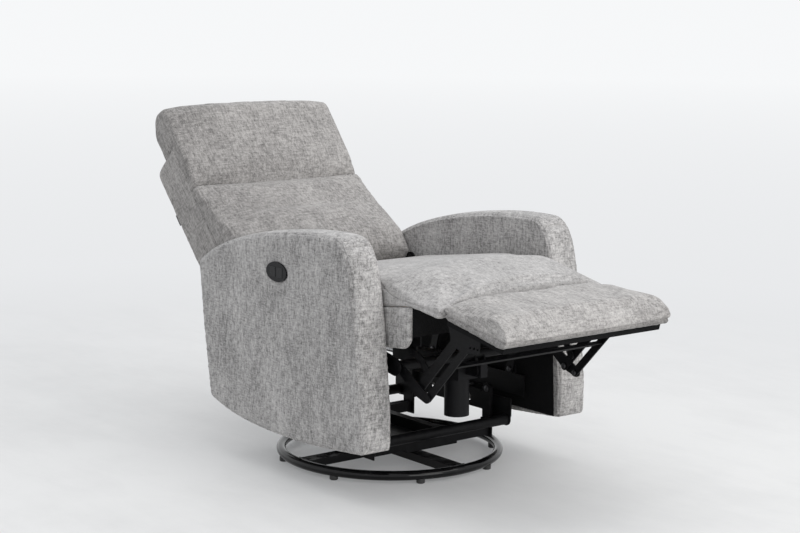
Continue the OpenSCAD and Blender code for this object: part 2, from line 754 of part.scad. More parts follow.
// Bracket on the rear board for the actuator's rod
module actuator_mount() color(steel) {
    for (k = [-1, 1]) side(k * (rod_eye_r + plate_t) - plate_t / 2, plate_t) {
        bar2d(rod_pin, [box_rear_y - rail_board_t * 2 - rod_eye_r, rear_rail_low + rod_eye_r],
            rod_eye_r * 2);
        translate([box_rear_y - rail_board_t * 2 - rod_eye_r * 2, rear_rail_low])
            square([rod_eye_r * 2, rod_eye_r * 2]);
    }
    xrod(rod_pin, rivet_r, -rod_eye_r - plate_t, rod_eye_r + plate_t);
    translate([-mount_w / 2, box_rear_y - rail_board_t * 2 - plate_t, rear_rail_low])
        cube([mount_w, plate_t, rod_eye_r * 2]);
}

// Drive tube across the chair with its centre crank
module torque_tube() color(steel) {
    xrod(drive_pin, tube_r, -inner_x, inner_x);
    for (k = [0, 1]) mirror([k, 0, 0]) side(crank_gap, crank_t) bar2d(drive_pin, crank_pin, crank_eye_r * 2);
    xrod(crank_pin, rivet_r, -crank_gap, crank_gap);
}

// Inner links, fixed to the drive tube, with their journals and elbow pins
module inner_links() color(steel) both() {
    side(inner_x, plate_t) {
        bar2d(drive_pin, elbow, link_w + over);
        bar2d(elbow, elbow2, link_w);
        bar2d(drive_pin, elbow2, link_w);
    }
    xrod(drive_pin, journal_r, inner_x + plate_t, plate_x + plate_t - touch);
    rivet_in(elbow, inner_x, outer_x);
    rivet_in(elbow2, inner_x, outer_x);
}

// Outer links that carry the footrest
module outer_links() color(steel) both() {
    side(outer_x, plate_t) difference() {
        bar2d(elbow, foot_pin, link_w);
        hole2d(elbow);
        hole2d(foot_pin);
    }
    xrod(control_pin, rivet_r, control_x + touch, outer_x);
}

// Angle bar that ties the parallel links together
module link_crossbar() color(steel) side(-outer_x, outer_x * 2)
    translate(elbow2 + (foot_pin2 - elbow2) * crossbar_share) rotate(outer_lean) {
        translate([-crossbar_w / 2, -plate_t / 2]) square([crossbar_w, crossbar_t]);
        translate([crossbar_w / 2 - crossbar_t, -plate_t / 2]) square([crossbar_t, crossbar_w / 2]);
    }

// Second pair of outer links, parallel to the first
module parallel_links() color(steel) both() side(outer_x, plate_t) difference() {
    bar2d(elbow2, foot_pin2, parallel_w);
    hole2d(elbow2);
    hole2d(foot_pin2);
}

// Bowed control links between the seat and the outer links
function bow(p, q, h, n) = let (d = q - p, m = [-d[1], d[0]] / norm(d))
    [for (k = [0:n]) p + d * k / n + m * h * sin(180 * k / n)];
module control_links() color(steel) both() side(control_x, plate_t) difference() {
    path = bow(hanger_pin, control_pin, control_bow, mid_steps);
    for (k = [0:mid_steps - 1]) bar2d(path[k], path[k + 1], control_w);
    hole2d(hanger_pin);
    hole2d(control_pin, control_hole_r);
}

// Brackets under the footrest board, with a row of holes
function foot_at(s, t) = [nose_y - seam_gap / 2, nose_z] + rot2([-s, -t], pad_slope);
bracket_reach = footrest_len * bracket_reach_share;
module footrest_brackets() color(steel) both() {
    side(inner_x, plate_t) difference() {
        union() {
            bar2d(foot_pin, foot_pin2, bracket_h);
            polygon([foot_pin + [bracket_h / 2 - over, 0], foot_at(board_in, pad_under(board_in) + board_t),
                foot_at(bracket_reach, pad_under(bracket_reach) + board_t),
                foot_pin2 + [-bracket_len / 2, -bracket_h / 4],
                foot_pin2 + [0, over - bracket_h / 2]]);
        }
        for (k = [1:bracket_holes])
            hole2d(foot_pin2 + [-k * bracket_hole_pitch - bracket_hole_start, bracket_hole_rise], bolt_r);
    }
    rivet_in(foot_pin, inner_x, outer_x);
    rivet_in(foot_pin2, inner_x, outer_x);
}
function pad_under(s) = footrest_t + (pad_end_t - footrest_t) * s / footrest_len;

// Board under the footrest pad
module footrest_board() color(lining) side(-footrest_w / 2 + board_in, footrest_w - board_in * 2)
    polygon([foot_at(board_in, pad_under(board_in)), foot_at(board_in, pad_under(board_in) + board_t),
        foot_at(footrest_len - board_in, pad_under(footrest_len - board_in) + board_t),
        foot_at(footrest_len - board_in, pad_under(footrest_len - board_in))]);

// Wedge-shaped footrest pad
function with_r(p, r) = [p[0], p[1], r];
function pad_outline() = rounded(concat(
    [for (q = pad_top_shares * footrest_len) with_r(foot_at(q[0], -q[1]), q[2])],
    [with_r(foot_at(pad_low_s, pad_under(pad_low_s) - touch), pad_outer_r),
        with_r(foot_at(pad_heel_in, pad_under(pad_heel_in) - touch), pad_heel_r)]), outline_steps);
module footrest_pad() color(cloth)
    padded(pad_outline(), footrest_w / 2, pad_edge_r, cushion_crown, rot2([0, 1], pad_slope),
        pad_pull_share, rot2([1, 0], pad_slope));

// Back parts, drawn in the back's own axes
function back_at(s, t) = back_pin + rot2([s, t], back_lean);
function back_pt(s, t, r) = with_r(back_at(s, t), r);
back_half = back_w / 2;
hinge_run = back_pin * rot2([1, 0], back_lean);
upright_x = link_x - frame_tube;
module board_in_back(s0, s1) polygon([
    back_at(s0, shell_front_t + touch), back_at(s1, shell_front_t + touch),
    back_at(s1, frame_front_t - touch), back_at(s0, frame_front_t - touch)]);
module back_frame() color(wood) {
    both() side(upright_x, frame_tube)
        board_in_back(back_foot_s, frame_top_s);
    for (s = [back_foot_s, back_seam_s - cross_rail_w, frame_top_s - cross_rail_w])
        side(-upright_x, upright_x * 2) board_in_back(s, s + cross_rail_w);
}

// Steel brackets from the hinge pins to the frame
module back_brackets() color(steel) both() side(link_x, plate_t) difference() {
    union() {
        bar2d(back_pin, back_at(bracket_drop, frame_mid_t), frame_tube - over);
        bar2d(back_at(bracket_drop, frame_mid_t), back_at(bracket_long, frame_mid_t), frame_tube - over);
    }
    hole2d(back_pin);
}

// Lower rear section of the back
function shell_outline() = rounded([
    back_pt(back_foot_s, -back_t, back_fold_r), back_pt(back_foot_s, frame_front_t - touch, back_seam_r),
    back_pt(back_lower_s - seam_gap, frame_front_t - touch, back_seam_r),
    back_pt(back_lower_s - seam_gap, -back_t, back_fold_r)], outline_steps);
module back_shell() color(cloth) difference() {
    padded(flip(shell_outline()), back_half, back_edge_r, cushion_crown / 2, rot2([0, -1], back_lean),
        back_pull_share, rot2([1, 0], back_lean), back_flare, hinge_run + flare_from_s,
        hinge_run + back_seam_s);
    frame_pocket(link_x + plate_t + touch, 0, back_lower_s, frame_front_t + over);
}

// Room for the frame, from s0 to s1 up the back and forwards to t1
module frame_pocket(half, s0, s1, t1) side(-half, half * 2) polygon([back_at(s0, shell_front_t),
    back_at(s1, shell_front_t), back_at(s1, t1), back_at(s0, t1)]);

// Lumbar cushion, fullest low down
lumbar_foot_s = 18;
lumbar_shares = [[0.04, 0.018, 0.13], [0.275, 0.05, 0.343], [0.62, -0.207, 0.584]];
lumbar_top_share = -0.287;
function lumbar_outline() = rounded(concat(
    [back_pt(lumbar_foot_s, frame_front_t, back_seam_r)],
    [for (q = lumbar_shares) back_pt(q[0] * back_seam_s, q[1] * back_t, q[2] * back_t)],
    [back_pt(back_seam_s - seam_gap, lumbar_top_share * back_t, cross_seam_r),
        back_pt(back_seam_s - seam_gap, frame_front_t, back_seam_r)]), outline_steps);
function flip(v) = [for (k = [len(v) - 1:-1:0]) v[k]];
module lumbar_cushion() color(cloth)
    padded(flip(lumbar_outline()), back_half, seat_edge_r, cushion_crown, rot2([0, 1], back_lean),
        back_pull_share, rot2([1, 0], back_lean), back_flare, hinge_run + flare_from_s,
        hinge_run + back_seam_s);

// Head cushion, wrapped over the top of the frame
head_len = back_top_s - back_seam_s;
head_rear_share = -0.69;
head_crown_turn = -37;
head_crown = 14;
pocket_r = 1;
pocket_s = frame_top_s + over;
head_shares = [[0, -0.297, 0.05], [0.23, -0.255, 0.436], [0.97, -0.228, 0.117], [1.023, -0.507, 0.097],
    [0.832, head_rear_share, 0.146]];
function head_outline() = rounded(concat(
    [back_pt(back_seam_s, frame_front_t, back_seam_r)],
    [for (q = head_shares) back_pt(back_seam_s + q[0] * head_len, q[1] * back_t, q[2] * back_t)],
    [back_pt(back_lower_s + seam_gap, head_rear_share * back_t, back_seam_r),
        back_pt(back_lower_s + seam_gap, frame_front_t, pocket_r)]), mid_steps);
module head_cushion() color(cloth) difference() {
    padded(flip(head_outline()), back_half + back_flare, back_edge_r, head_crown,
        rot2([0, 1], back_lean + head_crown_turn), back_pull_share, rot2([1, 0], back_lean));
    frame_pocket(link_x + touch, back_lower_s, pocket_s, frame_front_t - touch / 2);
}

// Plain fabric tag in the rear side seam
module side_tag() color(lining) side(-back_half + tag_in, tag_t)
    polygon([back_at(tag_s, -back_t - tag_w), back_at(tag_s + tag_h, -back_t - tag_w),
        back_at(tag_s + tag_h, -back_t - tag_seat), back_at(tag_s, -back_t - tag_seat)]);

// Linear actuator: tube and gear case, motor and rod
act_dir = unit(rod_pin - crank_pin);
act_lean = atan2(act_dir[1], act_dir[0]);
module along_actuator() translate([0, crank_pin[0], crank_pin[1]]) rotate([act_lean, 0, 0]) children();
module actuator_body() color(lining) difference() {
    along_actuator() union() {
        translate([-crank_gap + over / 2, -boss_h / 2, -boss_h / 2])
            cube([crank_gap * 2 - over, motor_y, boss_h]);
        translate([-gear_w / 2, motor_y - gear_l / 2, -gear_h / 2]) cube([gear_w, gear_l, gear_h]);
        translate([-tube_w / 2, motor_y, -tube_h / 2]) cube([tube_w, tube_len - motor_y, tube_h]);
    }
    along_actuator() translate([0, motor_y, 0]) rotate([-90, 0, 0])
        cylinder(r = rod_r + fit, h = tube_len, $fn = fine);
    xrod(crank_pin, crank_hole_r, -crank_gap - over, crank_gap + over);
}
module actuator_motor() color(lining) along_actuator()
    translate([0, motor_y, -gear_h / 2 - motor_h]) {
        cylinder(r = motor_r, h = motor_h, $fn = fine);
        translate([0, 0, -motor_neck]) cylinder(r = motor_neck_r, h = motor_neck, $fn = fine);
    }
module actuator_rod() color([0.75, 0.75, 0.76]) difference() {
    union() {
        along_actuator() translate([0, tube_len - rod_in, 0]) rotate([-90, 0, 0])
            cylinder(r = rod_r, h = norm(rod_pin - crank_pin) - tube_len + rod_in, $fn = fine);
        xrod(rod_pin, rod_eye_r, -rod_eye_r + over, rod_eye_r - over);
    }
    xrod(rod_pin, rivet_r + fit, -rod_eye_r, rod_eye_r);
}

base_ring();
base_spokes();
floor_glides();
hub_housing();
thrust_washer();
swivel_post();
swivel_frame();
stanchions();
hanging_pins();
glide_links_front();
glide_links_rear();
carriage_side_left();
carriage_side_right();
carriage_pins();
carriage_cross_tubes();
base_rail_left();
base_rail_right();
arm_brackets();
arm_left();
arm_right();
arm_liner_left();
arm_liner_right();
control_bezel();
button_recline();
button_upright();
seat_links_front();
seat_links_rear();
seat_plate_left();
seat_plate_right();
seat_side_left();
seat_side_right();
seat_front_rail();
seat_rear_rail();
seat_springs();
seat_cushion();
front_lining();
control_hangers();
actuator_mount();
torque_tube();
inner_links();
outer_links();
link_crossbar();
parallel_links();
control_links();
footrest_brackets();
footrest_board();
footrest_pad();
back_frame();
back_brackets();
back_shell();
lumbar_cushion();
head_cushion();
side_tag();
actuator_body();
actuator_motor();
actuator_rod();
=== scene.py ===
"""Looks of a power swivel glider recliner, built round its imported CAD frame."""
import math

import bmesh
import bpy
import numpy as np
from mathutils import Matrix, Vector
from mathutils.bvhtree import BVHTree


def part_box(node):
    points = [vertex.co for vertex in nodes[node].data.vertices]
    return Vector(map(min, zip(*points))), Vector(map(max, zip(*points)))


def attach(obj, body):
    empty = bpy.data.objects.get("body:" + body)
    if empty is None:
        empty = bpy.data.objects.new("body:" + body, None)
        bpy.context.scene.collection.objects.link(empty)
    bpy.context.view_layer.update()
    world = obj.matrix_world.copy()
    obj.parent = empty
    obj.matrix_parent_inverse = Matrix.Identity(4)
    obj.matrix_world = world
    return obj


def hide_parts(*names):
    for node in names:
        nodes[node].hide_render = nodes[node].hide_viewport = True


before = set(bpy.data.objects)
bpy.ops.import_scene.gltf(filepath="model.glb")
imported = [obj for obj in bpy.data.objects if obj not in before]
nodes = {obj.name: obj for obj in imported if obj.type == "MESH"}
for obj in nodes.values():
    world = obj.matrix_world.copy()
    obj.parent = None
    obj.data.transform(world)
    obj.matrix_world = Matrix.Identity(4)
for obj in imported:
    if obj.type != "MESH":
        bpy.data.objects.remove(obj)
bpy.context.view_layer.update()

MM = 0.001
scene = bpy.context.scene


# ------------ camera, floor and light

CAMERA_AT = Vector((-2.9559, -3.7423, 1.2803))
CAMERA_HEADING = math.radians(38.5808)
CAMERA_DIP = math.radians(9.18076)
CAMERA_ROLL = math.radians(0.55177)
FOCAL_PIXELS = 1831.628
PICTURE_PIXELS = 800
SENSOR_MM = 36.0


def added(name, data):
    """A new object in the scene."""
    obj = bpy.data.objects.new(name, data)
    scene.collection.objects.link(obj)
    return obj


def set_camera():
    data = bpy.data.cameras.new("camera")
    data.sensor_width = SENSOR_MM
    data.lens = FOCAL_PIXELS * SENSOR_MM / PICTURE_PIXELS
    data.clip_start, data.clip_end = 0.1, 200
    ahead = Vector((math.sin(CAMERA_HEADING) * math.cos(CAMERA_DIP),
                    math.cos(CAMERA_HEADING) * math.cos(CAMERA_DIP), -math.sin(CAMERA_DIP)))
    right = Vector((math.cos(CAMERA_HEADING), -math.sin(CAMERA_HEADING), 0))
    up = right.cross(ahead)
    right_rolled = right * math.cos(CAMERA_ROLL) + up * math.sin(CAMERA_ROLL)
    up_rolled = up * math.cos(CAMERA_ROLL) - right * math.sin(CAMERA_ROLL)
    turn = Matrix((right_rolled, up_rolled, -ahead)).transposed().to_4x4()
    scene.camera = added("camera", data)
    scene.camera.matrix_world = Matrix.Translation(CAMERA_AT) @ turn


# Name, place, aim, size, watts and colour of each soft box
LIGHTS = (
    ("key_light", (1.1, -3.3, 2.9), (0, 0, 0.5), (2.8, 2.2), 46, (1.0, 0.985, 0.96)),
    ("top_light", (-0.1, 0.3, 3.7), (0, 0, 0.4), (3.2, 3.2), 42, (1.0, 1.0, 1.0)),
    ("front_fill", (-0.2, -4.6, 0.9), (0, 0, 0.3), (2.8, 1.5), 38, (1.0, 0.99, 0.97)),
)


def soft_box(name, place, aim, size, watts, colour):
    data = bpy.data.lights.new(name, "AREA")
    data.shape, data.size, data.size_y = "RECTANGLE", *size
    data.energy, data.color = watts, colour
    lamp = added(name, data)
    lamp.location = place
    lamp.rotation_euler = (Vector(aim) - Vector(place)).to_track_quat("-Z", "Y").to_euler()


set_camera()
for light in LIGHTS:
    soft_box(*light)


# ------------ finishes

class Graph:
    """A node tree under construction. Inputs are given by name or number, as links or as
    values."""
    prefix = "ShaderNode"

    def __init__(self, tree):
        self.tree = tree

    def join(self, source, target):
        self.tree.links.new(source, target)

    def node(self, kind, inputs=(), **values):
        made = self.tree.nodes.new(kind if "Node" in kind else self.prefix + kind)
        for key, value in values.items():
            setattr(made, key, value)
        for target, source in dict(inputs).items():
            if hasattr(source, "is_output"):
                self.join(source, made.inputs[target])
            else:
                made.inputs[target].default_value = source
        return made

    def math(self, kind, first, second):
        return self.node("ShaderNodeMath", {0: first, 1: second}, operation=kind).outputs[0]


class Finish(Graph):
    """A material for one finish."""

    def __init__(self, name):
        self.material = bpy.data.materials.new(name)
        self.material.use_nodes = True
        super().__init__(self.material.node_tree)
        self.shader = self.tree.nodes["Principled BSDF"]

    def set(self, **values):
        for key, value in values.items():
            self.shader.inputs[key.replace("_", " ")].default_value = value
        return self.material

    def drive(self, source, target):
        self.join(source, self.shader.inputs[target])

    def coordinates(self, scale, turn=0.0):
        """Object coordinates in metres, turned about X and then scaled, by one number or
        one for each axis."""
        scale = scale if isinstance(scale, tuple) else (scale,) * 3
        turned = self.node("Mapping", {"Vector": self.node("TexCoord").outputs["Object"],
                                       "Rotation": (turn, 0, 0)})
        return self.node("Mapping", {"Vector": turned.outputs[0], "Scale": scale}).outputs[0]

    def noise(self, scale, detail=2.0, roughness=0.5, turn=0.0):
        """Noise with that many cells to the metre."""
        return self.node("TexNoise", {"Vector": self.coordinates(scale, turn), "Scale": 1.0,
                                      "Detail": detail, "Roughness": roughness}).outputs["Fac"]

    def spread(self, value, low, high, to_low, to_high, **values):
        numbers = enumerate((value, low, high, to_low, to_high))
        return self.node("MapRange", numbers, **values).outputs[0]

    def ramp(self, value, stops, target="Base Color"):
        made = self.node("ValToRGB", {"Fac": value})
        points = made.color_ramp.elements
        while len(points) < len(stops):
            points.new(0.5)
        for point, (place, colour) in zip(points, stops):
            point.position, point.color = place, (*colour, 1)
        if target:
            self.drive(made.outputs["Color"], target)
        return made.outputs["Color"]

    def bump(self, height, distance, strength):
        made = self.node("Bump", {"Height": height, "Distance": distance, "Strength": strength})
        self.drive(made.outputs["Normal"], "Normal")


def chenille(name, turn=0.0, shade=1.0, contrast=1.0, warmth=0.0):
    """Heathered chenille with its pile along Z, turned about X. Each finish sets its own overall shade, and
    within a cover the colour is scaled by a per-point attribute that holds painted light and shade."""
    made = Finish(name)
    pile, threads, flecks, fibres, clouds = (made.noise(*layer, turn) for layer in (
        ((150, 150, 44), 3, 0.65), ((46, 46, 300), 2, 0.60), ((430, 430, 150), 2, 0.60),
        ((1400, 1400, 700), 1, 0.50), ((15, 15, 9), 2, 0.50)))
    value = 0.52
    for layer, weight in ((pile, 0.95), (threads, 0.75), (flecks, 0.80), (fibres, 0.50), (clouds, 0.45)):
        uneven_part = made.math("MULTIPLY", made.math("SUBTRACT", layer, 0.5), weight * contrast)
        value = made.math("ADD", value, uneven_part)
    slubs = made.spread(made.noise((250, 250, 95), 2, 0.7, turn), 0.58, 0.68, 0, 0.2)
    value = made.math("SUBTRACT", value, made.math("MULTIPLY", slubs, contrast))
    tones = ((0.10, 0.150), (0.36, 0.292), (0.55, 0.410), (0.88, 0.610))
    tint = [shade * (1 + warmth), shade * 0.97, shade * (0.95 - warmth)]
    tone = made.ramp(value, [(place, [grey * part for part in tint]) for place, grey in tones], None)
    # Painted light and shade: a per-point attribute lightens or darkens the colour within a cover.
    painted_shading = made.node("Attribute", attribute_name="painted_shading").outputs["Fac"]
    tone = made.node("VectorMath", {0: tone, "Scale": made.math("ADD", painted_shading, 1.0)}, operation="SCALE")
    made.drive(tone.outputs[0], "Base Color")
    height = made.math("ADD", made.math("MULTIPLY", flecks, 0.8), made.math("MULTIPLY", fibres, 0.5))
    made.bump(height, 0.9 * MM, 0.5)
    return made.set(Roughness=0.92, Sheen_Weight=0.2, Sheen_Roughness=0.45, Specular_IOR_Level=0.22)


def painted_steel():
    """Satin black powder coat with light scuffs."""
    made = Finish("satin_black_steel")
    scuffs = made.noise((60, 25, 60), 4, 0.7)
    made.ramp(scuffs, [(0.42, (0.003, 0.003, 0.0035)), (0.74, (0.009, 0.009, 0.010))])
    made.drive(made.spread(scuffs, 0.35, 0.7, 0.38, 0.56), "Roughness")
    made.bump(made.noise(900), 0.12 * MM, 0.35)
    return made.set(Specular_IOR_Level=0.13)


def gloss_tube():
    """Gloss black enamel of the floor ring, a little dusty."""
    made = Finish("gloss_black_enamel")
    dust = made.noise((22, 22, 60), 5, 0.65)
    made.ramp(dust, [(0.5, (0.003, 0.003, 0.0035)), (0.85, (0.012, 0.012, 0.013))])
    made.drive(made.spread(dust, 0.4, 0.75, 0.08, 0.22), "Roughness")
    made.bump(made.noise(140, 1, 0.4), 0.1 * MM, 0.2)
    return made.set(Specular_IOR_Level=0.28)


def moulded(name, colour, grain, rough, gloss=0.5):
    """Moulded plastic with a fine eroded grain."""
    made = Finish(name)
    cloud = made.noise(40, 3, 0.6)
    lighter = tuple(min(1, 1.35 * part + 0.003) for part in colour)
    made.ramp(cloud, [(0.3, colour), (0.75, lighter)])
    made.drive(made.spread(cloud, 0.3, 0.7, rough * 0.85, rough * 1.25), "Roughness")
    made.bump(made.noise(1800, 1, 0.5), grain * MM, 0.4)
    return made.set(Specular_IOR_Level=gloss)


def bare_metal(name, colour, rough, along):
    """Drawn or ground metal with fine lines along one axis."""
    made = Finish(name)
    lines = made.noise(along, 3, 0.7)
    made.ramp(lines, [(0.3, tuple(0.8 * part for part in colour)), (0.7, colour)])
    made.drive(made.spread(lines, 0.3, 0.7, rough * 0.8, rough * 1.3), "Roughness")
    made.bump(lines, 0.05 * MM, 0.3)
    return made.set(Metallic=1.0)


def plywood():
    """Birch ply boards: straight grain and pale veneer."""
    made = Finish("birch_plywood")
    grain = made.noise((6, 160, 160), 4, 0.65)
    flow = made.noise((2, 18, 18), 2, 0.5)
    value = made.math("ADD", made.math("MULTIPLY", grain, 0.7), made.math("MULTIPLY", flow, 0.4))
    made.ramp(value, [(0.38, (0.36, 0.23, 0.12)), (0.55, (0.56, 0.40, 0.23)), (0.75, (0.68, 0.53, 0.34))])
    made.bump(grain, 0.25 * MM, 0.4)
    return made.set(Roughness=0.68)


def spunbond():
    """Black spunbond lining with its pressed dots."""
    made = Finish("black_spunbond")
    dots = made.node("TexVoronoi", {"Vector": made.coordinates(420), "Scale": 1,
                                    "Randomness": 0.25}, feature="F1")
    felt = made.noise((700, 700, 300), 3, 0.7)
    made.ramp(felt, [(0.3, (0.004, 0.004, 0.004)), (0.75, (0.018, 0.018, 0.019))])
    made.bump(made.math("ADD", dots.outputs["Distance"], felt), 0.3 * MM, 0.4)
    return made.set(Roughness=0.95, Specular_IOR_Level=0.08)


def ribbon():
    """Black satin ribbon of the side tag."""
    made = Finish("black_ribbon")
    weave = made.node("TexWave", {"Vector": made.coordinates(900), "Scale": 1, "Distortion": 0.4},
                      wave_type="BANDS", bands_direction="Y").outputs["Fac"]
    made.ramp(weave, [(0.1, (0.006, 0.006, 0.010)), (0.9, (0.020, 0.020, 0.028))])
    made.bump(weave, 0.15 * MM, 0.5)
    return made.set(Roughness=0.5, Sheen_Weight=0.3)


def sewing_thread():
    made = Finish("grey_thread")
    twist = made.noise(1500, 1, 0.5)
    made.ramp(twist, [(0.3, (0.27, 0.26, 0.255)), (0.7, (0.42, 0.41, 0.40))])
    made.bump(twist, 0.1 * MM, 0.4)
    return made.set(Roughness=0.7, Sheen_Weight=0.2)


BACK_TURN, PAD_SLOPE = math.radians(48.5), math.radians(15.9)
BACK_COS, BACK_SIN = math.cos(BACK_TURN), math.sin(BACK_TURN)
PAD_COS, PAD_SIN = math.cos(PAD_SLOPE), math.sin(PAD_SLOPE)
FINISH = {
    "arm": chenille("chenille_arms", shade=0.96, contrast=1.1),
    "seat": chenille("chenille_seat", math.radians(94), 0.99, 0.78),
    "pad": chenille("chenille_footrest", math.radians(90) - PAD_SLOPE, 0.90, 0.9, 0.01),
    "back": chenille("chenille_back", math.radians(90) - BACK_TURN, 0.73, 1.0, 0.015),
    "steel": painted_steel(),
    "enamel": gloss_tube(),
    "case": moulded("black_moulded_case", (0.005, 0.005, 0.006), 0.25, 0.5, 0.15),
    "gloss": moulded("gloss_black_switch_plate", (0.003, 0.003, 0.004), 0.02, 0.12, 0.2),
    "button": moulded("black_buttons", (0.006, 0.006, 0.007), 0.05, 0.26, 0.25),
    "nylon": moulded("black_nylon_glide", (0.02, 0.02, 0.02), 0.2, 0.5),
    "washer": moulded("natural_nylon", (0.62, 0.61, 0.56), 0.1, 0.4),
    "rod": bare_metal("ground_steel_rod", (0.62, 0.62, 0.63), 0.22, (1500, 40, 1500)),
    "zinc": bare_metal("black_zinc_rivets", (0.10, 0.10, 0.105), 0.42, 300),
    "wire": bare_metal("oiled_spring_wire", (0.16, 0.16, 0.17), 0.42, (500, 60, 500)),
    "wood": plywood(),
    "lining": spunbond(),
    "ribbon": ribbon(),
    "thread": sewing_thread(),
}


SKY_LIGHT, SKY_STRENGTH = (0.94, 0.965, 1.0, 1), 0.82
SHOWN_SKY = (0.925, 0.935, 0.945, 1)
# Glow of the floor near the chair: painted fill light that lightens its shadows. The last number below is the
# least share of that glow.
NEAR_FILL_GLOW = (0.80, 0.81, 0.825, 1)
FLOOR_REACH, HAZE_REACH, HAZE_CENTRE = 60, 24, (0.5, 0, 0)
HAZE_NEAR, HAZE_FAR, FILL_GLOW_LEAST = 1.1, 3.6, 0.2


def lay_floor():
    """Pale studio floor that fades into the bright background. Near the chair it also glows a little for
    camera and glossy rays: painted fill light that lightens the shadows under the chair.
    """
    made = Finish("pale_floor")
    stains, marks = made.noise(1.7, 6, 0.62), made.noise((9, 3.2, 1), 5, 0.7)
    value = made.math("ADD", made.math("MULTIPLY", stains, 0.6), made.math("MULTIPLY", marks, 0.4))
    made.ramp(value, [(0.34, (0.668, 0.664, 0.655)), (0.56, (0.738, 0.733, 0.722))])
    made.set(Roughness=0.55, Specular_IOR_Level=0.3)
    centred = made.node("Mapping", {"Vector": made.node("TexCoord").outputs["Object"],
                                    "Location": HAZE_CENTRE}).outputs[0]
    far = made.node("VectorMath", {0: centred}, operation="LENGTH").outputs["Value"]
    tones = [(0.10, NEAR_FILL_GLOW[:3]), (0.75, SHOWN_SKY[:3])]
    tone = made.ramp(made.spread(far, 0, HAZE_REACH, 0, 1), tones, None)
    # Painted light: the glow's share never falls below a set least value, even in the shadows under the
    # chair.
    share = made.spread(far, HAZE_NEAR, HAZE_FAR, FILL_GLOW_LEAST, 1.0, interpolation_type="SMOOTHSTEP")
    rays = made.node("LightPath").outputs
    seen = made.math("MAXIMUM", rays["Is Camera Ray"], rays["Is Glossy Ray"])
    backdrop_and_fill_glow = made.node("Emission", {"Color": tone})
    mix = made.node("MixShader", {0: made.math("MULTIPLY", share, seen), 1: made.shader.outputs[0],
                                  2: backdrop_and_fill_glow.outputs[0]})
    made.join(mix.outputs[0], made.tree.nodes["Material Output"].inputs["Surface"])
    mesh = bpy.data.meshes.new("floor")
    mesh.from_pydata([(FLOOR_REACH * i, FLOOR_REACH * j, 0) for i, j in ((-1, -1), (1, -1), (1, 1), (-1, 1))],
                     [], [(0, 1, 2, 3)])
    mesh.materials.append(made.material)
    added("floor", mesh)


def light_world():
    """Soft white surroundings; what the camera and mirrors see of them is a paler tone."""
    world = bpy.data.worlds.new("studio")
    world.use_nodes = True
    scene.world = world
    made = Graph(world.node_tree)
    light = made.tree.nodes["Background"]
    light.inputs["Color"].default_value = SKY_LIGHT
    light.inputs["Strength"].default_value = SKY_STRENGTH
    shown = made.node("Background", {"Color": SHOWN_SKY})
    rays = made.node("LightPath").outputs
    seen = made.math("MAXIMUM", rays["Is Camera Ray"], rays["Is Glossy Ray"])
    seen = made.math("MAXIMUM", seen, rays["Is Transmission Ray"])
    mix = made.node("MixShader", {0: seen, 1: light.outputs[0], 2: shown.outputs[0]})
    made.join(mix.outputs[0], made.tree.nodes["World Output"].inputs["Surface"])


scene.view_settings.view_transform = "Standard"
lay_floor()
light_world()

CAD_FINISH = {
    "enamel": ["base_ring", "base_spokes"],
    "nylon": ["floor_glides"],
    "washer": ["thrust_washer"],
    "gloss": ["control_bezel"],
    "button": ["button_recline", "button_upright"],
    "wood": ["seat_front_rail", "seat_rear_rail", "back_frame"],
    "lining": ["front_lining", "arm_liner_left", "arm_liner_right", "footrest_board"],
    "ribbon": ["side_tag"],
    "case": ["actuator_body", "actuator_motor"],
    "rod": ["actuator_rod"],
    "zinc": ["hanging_pins", "carriage_pins"],
}
finish_of = {name: finish for finish, names in CAD_FINISH.items() for name in names}
for name, piece in nodes.items():
    piece.data.materials.clear()
    piece.data.materials.append(FINISH[finish_of.get(name, "steel")])


# ------------ skins

def vectors_of(data, name="vector"):
    flat = np.empty(len(data) * 3, np.float32)
    data.foreach_get(name, flat)
    return flat.reshape(-1, 3).astype(float)


def points_of(mesh):
    return vectors_of(mesh.vertices, "co")


def normals_of(mesh):
    return vectors_of(mesh.vertex_normals)


def set_points(mesh, points):
    mesh.vertices.foreach_set("co", points.astype(np.float32).ravel())
    mesh.update()


def solid_of(obj):
    """The places and directions that a cover keeps of its solid."""
    kept = obj.data.attributes
    return vectors_of(kept["rest"].data), vectors_of(kept["facing"].data)


def keep(mesh, name, values):
    """Stores one vector at each point under a name."""
    made = mesh.attributes.new(name, "FLOAT_VECTOR", "POINT")
    made.data.foreach_set("vector", np.asarray(values, np.float32).ravel())


def plain_mesh(obj):
    """Turns the evaluated result into the object's own plain mesh."""
    graph = bpy.context.evaluated_depsgraph_get()
    mesh = bpy.data.meshes.new_from_object(obj.evaluated_get(graph))
    obj.modifiers.clear()
    obj.data = mesh
    return mesh


def neighbours(mesh):
    """Both ends of every edge, and how many edges meet at each point."""
    edges = np.empty(len(mesh.edges) * 2, np.int64)
    mesh.edges.foreach_get("vertices", edges)
    a, b = edges.reshape(-1, 2).T
    return a, b, np.bincount(np.concatenate((a, b)), minlength=len(mesh.vertices))


def relax(mesh, rounds, share=0.5):
    """Moves each point part of the way to its neighbours' mean, several times."""
    a, b, count = neighbours(mesh)
    points = points_of(mesh)
    size = len(points)
    for _ in range(rounds):
        mean = np.stack([np.bincount(a, points[b, k], size) + np.bincount(b, points[a, k], size)
                         for k in range(3)], 1) / count[:, None]
        points += share * (mean - points)
    set_points(mesh, points)


def ease(value, low, high):
    """From 0 to 1 between two values, with a soft start and end."""
    t = np.clip((value - low) / (high - low), 0, 1)
    return t * t * (3 - 2 * t)


def ripple(points, scale, seed):
    """Smooth uneven field between about -1 and 1, the same on every run."""
    draw = np.random.default_rng(seed)
    total = np.zeros(len(points))
    for _ in range(6):
        heading = draw.normal(size=3)
        heading /= np.linalg.norm(heading)
        total += np.sin(points @ heading * scale * draw.uniform(0.6, 1.6) + draw.uniform(0, 6.28))
    return total / 3.2


